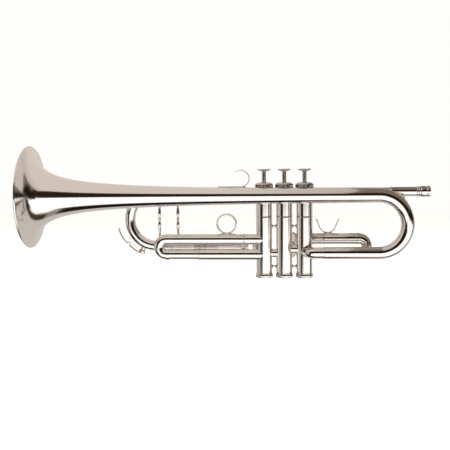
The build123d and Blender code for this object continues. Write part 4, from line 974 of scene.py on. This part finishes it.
def build_valve_actions():
    """Buttons, pearls, stems and springs, one set for each valve."""
    for name in VALVES:
        body = "valve_" + name
        low, high = box_mm("finger_button_" + name)
        x, y = (low.x + high.x) / 2, (low.y + high.y) / 2
        rim = (high.x - low.x) / 2
        height = high.z - low.z
        dish = [(1.4, 0.0), (1.4, 2.6), (0.0, 2.6), (0.0, 3.3), (0.3, 4.2), (0.9, 5.6), (1.6, 7.0), (2.1, rim - 0.35),
                (2.5, rim), (2.9, rim), (height, rim - 0.35), (height, 6.8), (height - 1.0, 6.8), (height - 1.0, 0.0)]
        finish_piece(turned(dish, (x, y, low.z), (0, 0, 1), 64, False), "button_dish_" + name, body,
                     "polished_fittings", ("finger_button_" + name,), bevel=0.15)
        low, high = box_mm("pearl_inlay_" + name)
        face = high.z - low.z
        disc = [(0.0, 0.0), (0.0, 6.75), (face, 6.75), (face - 0.02, 6.2), (face - 0.12, 5.0), (face - 0.25, 3.0),
                (face - 0.33, 1.5), (face - 0.35, 0.0)]
        finish_piece(turned(disc, (x, y, low.z), (0, 0, 1), 48, False), "pearl_disc_" + name, body, "pearl",
                     ("pearl_inlay_" + name,), bevel=0.1)
        low, high = box_mm("stem_" + name)
        height = high.z - low.z
        plate = (high.x - low.x) / 2
        shaft = [(0.0, 0.0), (0.0, plate), (1.6, plate), (1.6, 2.6), (height - 0.3, 2.6), (height, 2.3), (height, 0.0)]
        finish_piece(turned(shaft, (x, y, low.z), (0, 0, 1), 48, False), "stem_shaft_" + name, body,
                     "polished_fittings", ("stem_" + name,), bevel=0.1)
        build_spring(name, x, y)


def build_spring(name, x, y):
    """A coil spring, wound by a helical spin."""
    low, high = box_mm("valve_spring_" + name)
    wire, turns, steps_per_turn = 0.45, 9, 28
    coil_r = (high.x - low.x) / 2 - wire
    rise = high.z - low.z - 2 * wire
    bm = bmesh.new()
    ring = bmesh.ops.create_circle(bm, segments=10, radius=wire)["verts"]
    bmesh.ops.rotate(bm, verts=ring, cent=(0, 0, 0), matrix=Matrix.Rotation(pi / 2, 3, "X"))
    bmesh.ops.translate(bm, verts=ring, vec=(coil_r, 0, 0))
    steps = turns * steps_per_turn
    bmesh.ops.spin(bm, geom=ring + list(bm.edges), cent=(0, 0, 0), axis=(0, 0, 1), dvec=(0, 0, rise / steps),
                   angle=tau * turns, steps=steps)
    bmesh.ops.holes_fill(bm, edges=bm.edges)
    bmesh.ops.translate(bm, verts=bm.verts, vec=(x, y, low.z + wire))
    piece = finish_piece(bm, "return_spring_" + name, ROOT, "spring_steel", ("valve_spring_" + name,))
    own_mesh(piece)


def dress_cad_nodes():
    """Give each CAD node that still shows the finish of its slot."""
    slots = {part["node"]: part["material_slot"] for part in frame["record"]["subparts"]}
    for name, node in frame["nodes"].items():
        if node.hide_render:
            continue
        material = bpy.data.materials[slots[name]]
        if not node.material_slots:
            node.data.materials.append(material)
        for holder in node.material_slots:
            holder.material = material


# ---------------------------------------------------------------- stage
CAMERA_DISTANCE, CAMERA_TURN, CAMERA_RISE, CAMERA_ROLL = 0.90, 3.9, 4.4, 0.45
CAMERA_LENS, CAMERA_AIM = 59.97, (-0.2453, -0.018, -0.0384)
STAGE_X, FLOOR_DROP, LAMP_HEIGHT = -0.25, 0.45, 2.6   # metres: the stage's middle, and how far down and up it goes


def build_camera():
    """A studio view of the bell side, a little from above and from the player's end."""
    turn, rise = radians(CAMERA_TURN), radians(CAMERA_RISE)
    way = Vector((sin(turn) * cos(rise), -cos(turn) * cos(rise), sin(rise)))
    lens = bpy.data.cameras.new("studio_camera")
    lens.lens = CAMERA_LENS
    lens.sensor_width = 36.0
    lens.clip_end = 20.0
    camera = bpy.data.objects.new("studio_camera", lens)
    bpy.context.scene.collection.objects.link(camera)
    look = way.to_track_quat("Z", "Y").to_matrix().to_4x4()
    camera.matrix_world = (Matrix.Translation(Vector(CAMERA_AIM) + way * CAMERA_DISTANCE) @ look
                           @ Matrix.Rotation(radians(-CAMERA_ROLL), 4, "Z"))
    bpy.context.scene.camera = camera


def stage_piece(bm, name, material):
    """Turn a bmesh in metres into a piece of the stage."""
    mesh = bpy.data.meshes.new(name)
    bm.to_mesh(mesh)
    bm.free()
    mesh.materials.append(material)
    piece = bpy.data.objects.new(name, mesh)
    bpy.context.scene.collection.objects.link(piece)
    return piece


def build_floor():
    """A wide pale floor well under the trumpet, and the soft lamp that lights it from above."""
    bm = bmesh.new()
    bmesh.ops.create_circle(bm, cap_ends=True, segments=96, radius=9.0)
    bmesh.ops.translate(bm, verts=bm.verts, vec=(STAGE_X, 0, CAD_BOX[0][2] - FLOOR_DROP))
    floor = stage_piece(bm, "pale_floor", floor_material())
    floor.visible_glossy = False
    light = bpy.data.lights.new("overhead_softbox", "AREA")
    light.shape = "DISK"
    light.size = 4.0
    light.energy = 160.0
    lamp = bpy.data.objects.new("overhead_softbox", light)
    lamp.location = (STAGE_X, 0.0, LAMP_HEIGHT)
    lamp.visible_glossy = False
    bpy.context.scene.collection.objects.link(lamp)


def build_ceiling_card():
    """A warm card close above the bell, seen only in the metal; its end shows on the bell bow."""
    card_z, front_y, back_y, left_x, right_x = 0.195, -0.36, 1.2, -1.6, -0.068
    bm = bmesh.new()
    bmesh.ops.create_grid(bm, x_segments=1, y_segments=1, size=0.5)
    bmesh.ops.scale(bm, vec=(right_x - left_x, back_y - front_y, 1), verts=bm.verts)
    bmesh.ops.translate(bm, vec=((left_x + right_x) / 2, (front_y + back_y) / 2, card_z), verts=bm.verts)
    material, tree = new_material("warm_card")
    way = add_node(tree, "ShaderNodeTexCoord")
    parts = add_node(tree, "ShaderNodeSeparateXYZ", links={0: way.outputs["Object"]})
    fall = add_node(tree, "ShaderNodeMapRange", {"From Min": -0.26, "From Max": -0.06, "To Min": 1.0, "To Max": 0.75},
                    {"Value": parts.outputs["X"]})
    close_material(tree, add_node(tree, "ShaderNodeEmission", {"Color": linear("E8DED5")},
                                  {"Strength": fall.outputs["Result"]}))
    card = stage_piece(bm, "ceiling_card", material)
    card.visible_camera = False
    card.visible_diffuse = False
    card.visible_shadow = False
    card.visible_transmission = False


# The studio painted round the trumpet, in degrees. A panel is (name, side from, side to, height from, height to,
# edge softness, colour, strength), and a later panel covers an earlier one. Side runs from the bell's end, -90, to the
# player's end, 90. Height turns round the trumpet's length: 0 is level towards the camera, 90 straight up, -90 straight
# down and 180 level behind.
PANELS = (
    ("far_ceiling", -90, 90, 20, 150, 4, "85776D", 1.0),
    ("left_wall", -90, -40, -64, 40, 4, "C9C0BA", 1.0),
    ("lower_back", -90, 90, -180, -104, 9, "D6D2CC", 1.0),
    ("white_table", -36, 80, -66, -2.6, 0.7, "FFFFFF", 1.5),
    ("white_table_foot", 14, 66, -77, -60, 4, "FFFFFF", 1.4),
    ("white_table_corner", 40, 64, -90, -60, 4, "FFFFFF", 1.3),
    ("dark_room", -38, 90, -2.6, 44, 0.7, "2C231A", 0.9),
    ("dark_room_left", -54, -17, -10, 3, 2.5, "2C231A", 0.9),
    ("left_edge", -54, -36, -70, 44, 1.5, "1F1915", 0.9),
    ("right_edge", 58, 84, -11, -2.6, 0.7, "2A211B", 1.0),
    ("gap_below", -90, 7, -106, -69, 4, "1C1815", 1.0),
    ("gap_left", -90, -12, -100, -62, 4, "1C1815", 1.0),
    ("gap_middle", 7, 17, -110, -76, 3, "A09B95", 1.0),
    ("gap_right", 17, 90, -112, -84, 4, "453E38", 1.0),
    ("dark_end", 70, 90, -180, -64, 5, "1C1612", 1.0),
    ("dark_end_above", 70, 90, -20, 180, 5, "1C1612", 1.0),
)


def panel_mask(tree, value, low, high, soft):
    """1 inside a range of degrees and 0 outside, with soft edges."""
    rise = add_node(tree, "ShaderNodeMapRange", {"interpolation_type": "SMOOTHSTEP", "From Min": low - soft,
                                                 "From Max": low + soft}, {"Value": value})
    fall = add_node(tree, "ShaderNodeMapRange", {"interpolation_type": "SMOOTHSTEP", "From Min": high - soft,
                                                 "From Max": high + soft, "To Min": 1.0, "To Max": 0.0},
                    {"Value": value})
    both = add_node(tree, "ShaderNodeMath", {"operation": "MULTIPLY"},
                    {0: rise.outputs["Result"], 1: fall.outputs["Result"]})
    return both.outputs[0]


def build_world():
    """The reflections: a warm ceiling, a dark room behind the camera and a white table in front of it."""
    world = bpy.data.worlds.new("studio")
    bpy.context.scene.world = world
    world.use_nodes = True
    tree = world.node_tree
    tree.nodes.clear()
    way = add_node(tree, "ShaderNodeTexCoord")
    parts = add_node(tree, "ShaderNodeSeparateXYZ", links={0: way.outputs["Generated"]})
    front = add_node(tree, "ShaderNodeMath", {"operation": "MULTIPLY", 1: -1.0}, {0: parts.outputs["Y"]})
    side = add_node(tree, "ShaderNodeMath", {"operation": "ARCSINE"}, {0: parts.outputs["X"]})
    height = add_node(tree, "ShaderNodeMath", {"operation": "ARCTAN2"}, {0: parts.outputs["Z"], 1: front.outputs[0]})
    side, height = (add_node(tree, "ShaderNodeMath", {"operation": "DEGREES"}, {0: turn.outputs[0]})
                    for turn in (side, height))
    colour = add_node(tree, "ShaderNodeRGB")
    colour.outputs[0].default_value = linear("D9D1CB")
    colour = colour.outputs[0]
    for name, left, right, low, high, soft, hex_value, strength in PANELS:
        across = panel_mask(tree, side.outputs[0], left, right, soft)
        upright = panel_mask(tree, height.outputs[0], low, high, soft)
        mask = add_node(tree, "ShaderNodeMath", {"operation": "MULTIPLY", "label": name}, {0: across, 1: upright})
        paint = tuple(c * strength for c in linear(hex_value)[:3]) + (1.0,)
        colour = add_node(tree, "ShaderNodeMix", {"data_type": "RGBA", 7: paint},
                          {"Factor": mask.outputs[0], 6: colour}).outputs[2]
    light = add_node(tree, "ShaderNodeBackground", links={"Color": colour})
    plain = add_node(tree, "ShaderNodeBackground", {"Color": linear("FFFEFC"), "Strength": 1.0})
    path = add_node(tree, "ShaderNodeLightPath")
    mixed = add_node(tree, "ShaderNodeMixShader", links={0: path.outputs["Is Camera Ray"], 1: light.outputs[0],
                                                         2: plain.outputs[0]})
    add_node(tree, "ShaderNodeOutputWorld", links={"Surface": mixed.outputs[0]})


def build_stage():
    """Camera, floor, card and studio, shown with plain sRGB colours."""
    build_camera()
    build_floor()
    build_ceiling_card()
    build_world()
    bpy.context.scene.view_settings.view_transform = "Standard"


# ---------------------------------------------------------------- operators
class TRUMPET_OT_materials(bpy.types.Operator):
    """Make every metal, pearl, felt and cork of the trumpet"""
    bl_idname = "trumpet.materials"
    bl_label = "Materials"

    def execute(self, context):
        make_materials()
        return {"FINISHED"}


class TRUMPET_OT_bell(bpy.types.Operator):
    """Build the bell, its bow and tail, and the rolled rim"""
    bl_idname = "trumpet.bell"
    bl_label = "Bell"

    def execute(self, context):
        build_bell()
        return {"FINISHED"}


class TRUMPET_OT_fixed_tubes(bpy.types.Operator):
    """Build the leadpipe, receiver, sleeves, elbows, ferrules and crossovers"""
    bl_idname = "trumpet.fixed_tubes"
    bl_label = "Fixed tubes"

    def execute(self, context):
        build_fixed_tubes()
        build_receiver()
        return {"FINISHED"}


class TRUMPET_OT_braces(bpy.types.Operator):
    """Build the stays between the bell, leadpipe and casings"""
    bl_idname = "trumpet.braces"
    bl_label = "Braces"

    def execute(self, context):
        build_braces()
        return {"FINISHED"}


class TRUMPET_OT_tuning_slide(bpy.types.Operator):
    """Build the main tuning slide and its stays"""
    bl_idname = "trumpet.tuning_slide"
    bl_label = "Tuning slide"

    def execute(self, context):
        build_tuning_slide()
        return {"FINISHED"}


class TRUMPET_OT_water_key(bpy.types.Operator):
    """Build the water key"""
    bl_idname = "trumpet.water_key"
    bl_label = "Water key"

    def execute(self, context):
        build_water_key()
        return {"FINISHED"}


class TRUMPET_OT_valve_slides(bpy.types.Operator):
    """Build the first, second and third valve slides"""
    bl_idname = "trumpet.valve_slides"
    bl_label = "Valve slides"

    def execute(self, context):
        build_first_slide()
        build_second_slide()
        build_third_slide()
        return {"FINISHED"}


class TRUMPET_OT_finger_fittings(bpy.types.Operator):
    """Build the finger hook, finger ring and thumb saddle"""
    bl_idname = "trumpet.finger_fittings"
    bl_label = "Finger fittings"

    def execute(self, context):
        build_finger_fittings()
        return {"FINISHED"}


class TRUMPET_OT_valve_casings(bpy.types.Operator):
    """Build the casings and their knurled caps"""
    bl_idname = "trumpet.valve_casings"
    bl_label = "Valve casings"

    def execute(self, context):
        build_valve_casings()
        return {"FINISHED"}


class TRUMPET_OT_valve_actions(bpy.types.Operator):
    """Build the buttons, pearls, stems and springs"""
    bl_idname = "trumpet.valve_actions"
    bl_label = "Valve actions"

    def execute(self, context):
        build_valve_actions()
        return {"FINISHED"}


class TRUMPET_OT_dress(bpy.types.Operator):
    """Give the CAD pieces that still show their finishes"""
    bl_idname = "trumpet.dress"
    bl_label = "Dress CAD pieces"

    def execute(self, context):
        dress_cad_nodes()
        return {"FINISHED"}


class TRUMPET_OT_stage(bpy.types.Operator):
    """Build the floor, lamp, painted studio and camera"""
    bl_idname = "trumpet.stage"
    bl_label = "Stage"

    def execute(self, context):
        build_stage()
        return {"FINISHED"}


STEPS = (TRUMPET_OT_materials, TRUMPET_OT_bell, TRUMPET_OT_fixed_tubes, TRUMPET_OT_braces, TRUMPET_OT_tuning_slide,
         TRUMPET_OT_water_key, TRUMPET_OT_valve_slides, TRUMPET_OT_finger_fittings, TRUMPET_OT_valve_casings,
         TRUMPET_OT_valve_actions, TRUMPET_OT_dress, TRUMPET_OT_stage)


class TRUMPET_PT_panel(bpy.types.Panel):
    """Steps and settings of the trumpet"""
    bl_idname = "TRUMPET_PT_panel"
    bl_label = "Trumpet"
    bl_space_type = "VIEW_3D"
    bl_region_type = "UI"
    bl_category = "Trumpet"

    def draw(self, context):
        for step in STEPS:
            self.layout.operator(step.bl_idname)
        for group in (context.scene.trumpet_sizes, context.scene.trumpet_colours):
            for name in group.__annotations__:
                self.layout.prop(group, name)


CLASSES = (TrumpetSizes, TrumpetColours, *STEPS, TRUMPET_PT_panel)


def register():
    for cls in CLASSES:
        bpy.utils.register_class(cls)
    bpy.types.Scene.trumpet_sizes = bpy.props.PointerProperty(type=TrumpetSizes)
    bpy.types.Scene.trumpet_colours = bpy.props.PointerProperty(type=TrumpetColours)


def unregister():
    del bpy.types.Scene.trumpet_colours
    del bpy.types.Scene.trumpet_sizes
    for cls in reversed(CLASSES):
        bpy.utils.unregister_class(cls)


def main():
    register()
    for step in STEPS:
        group, name = step.bl_idname.split(".")
        getattr(getattr(bpy.ops, group), name)()


if __name__ == "__main__":
    main()
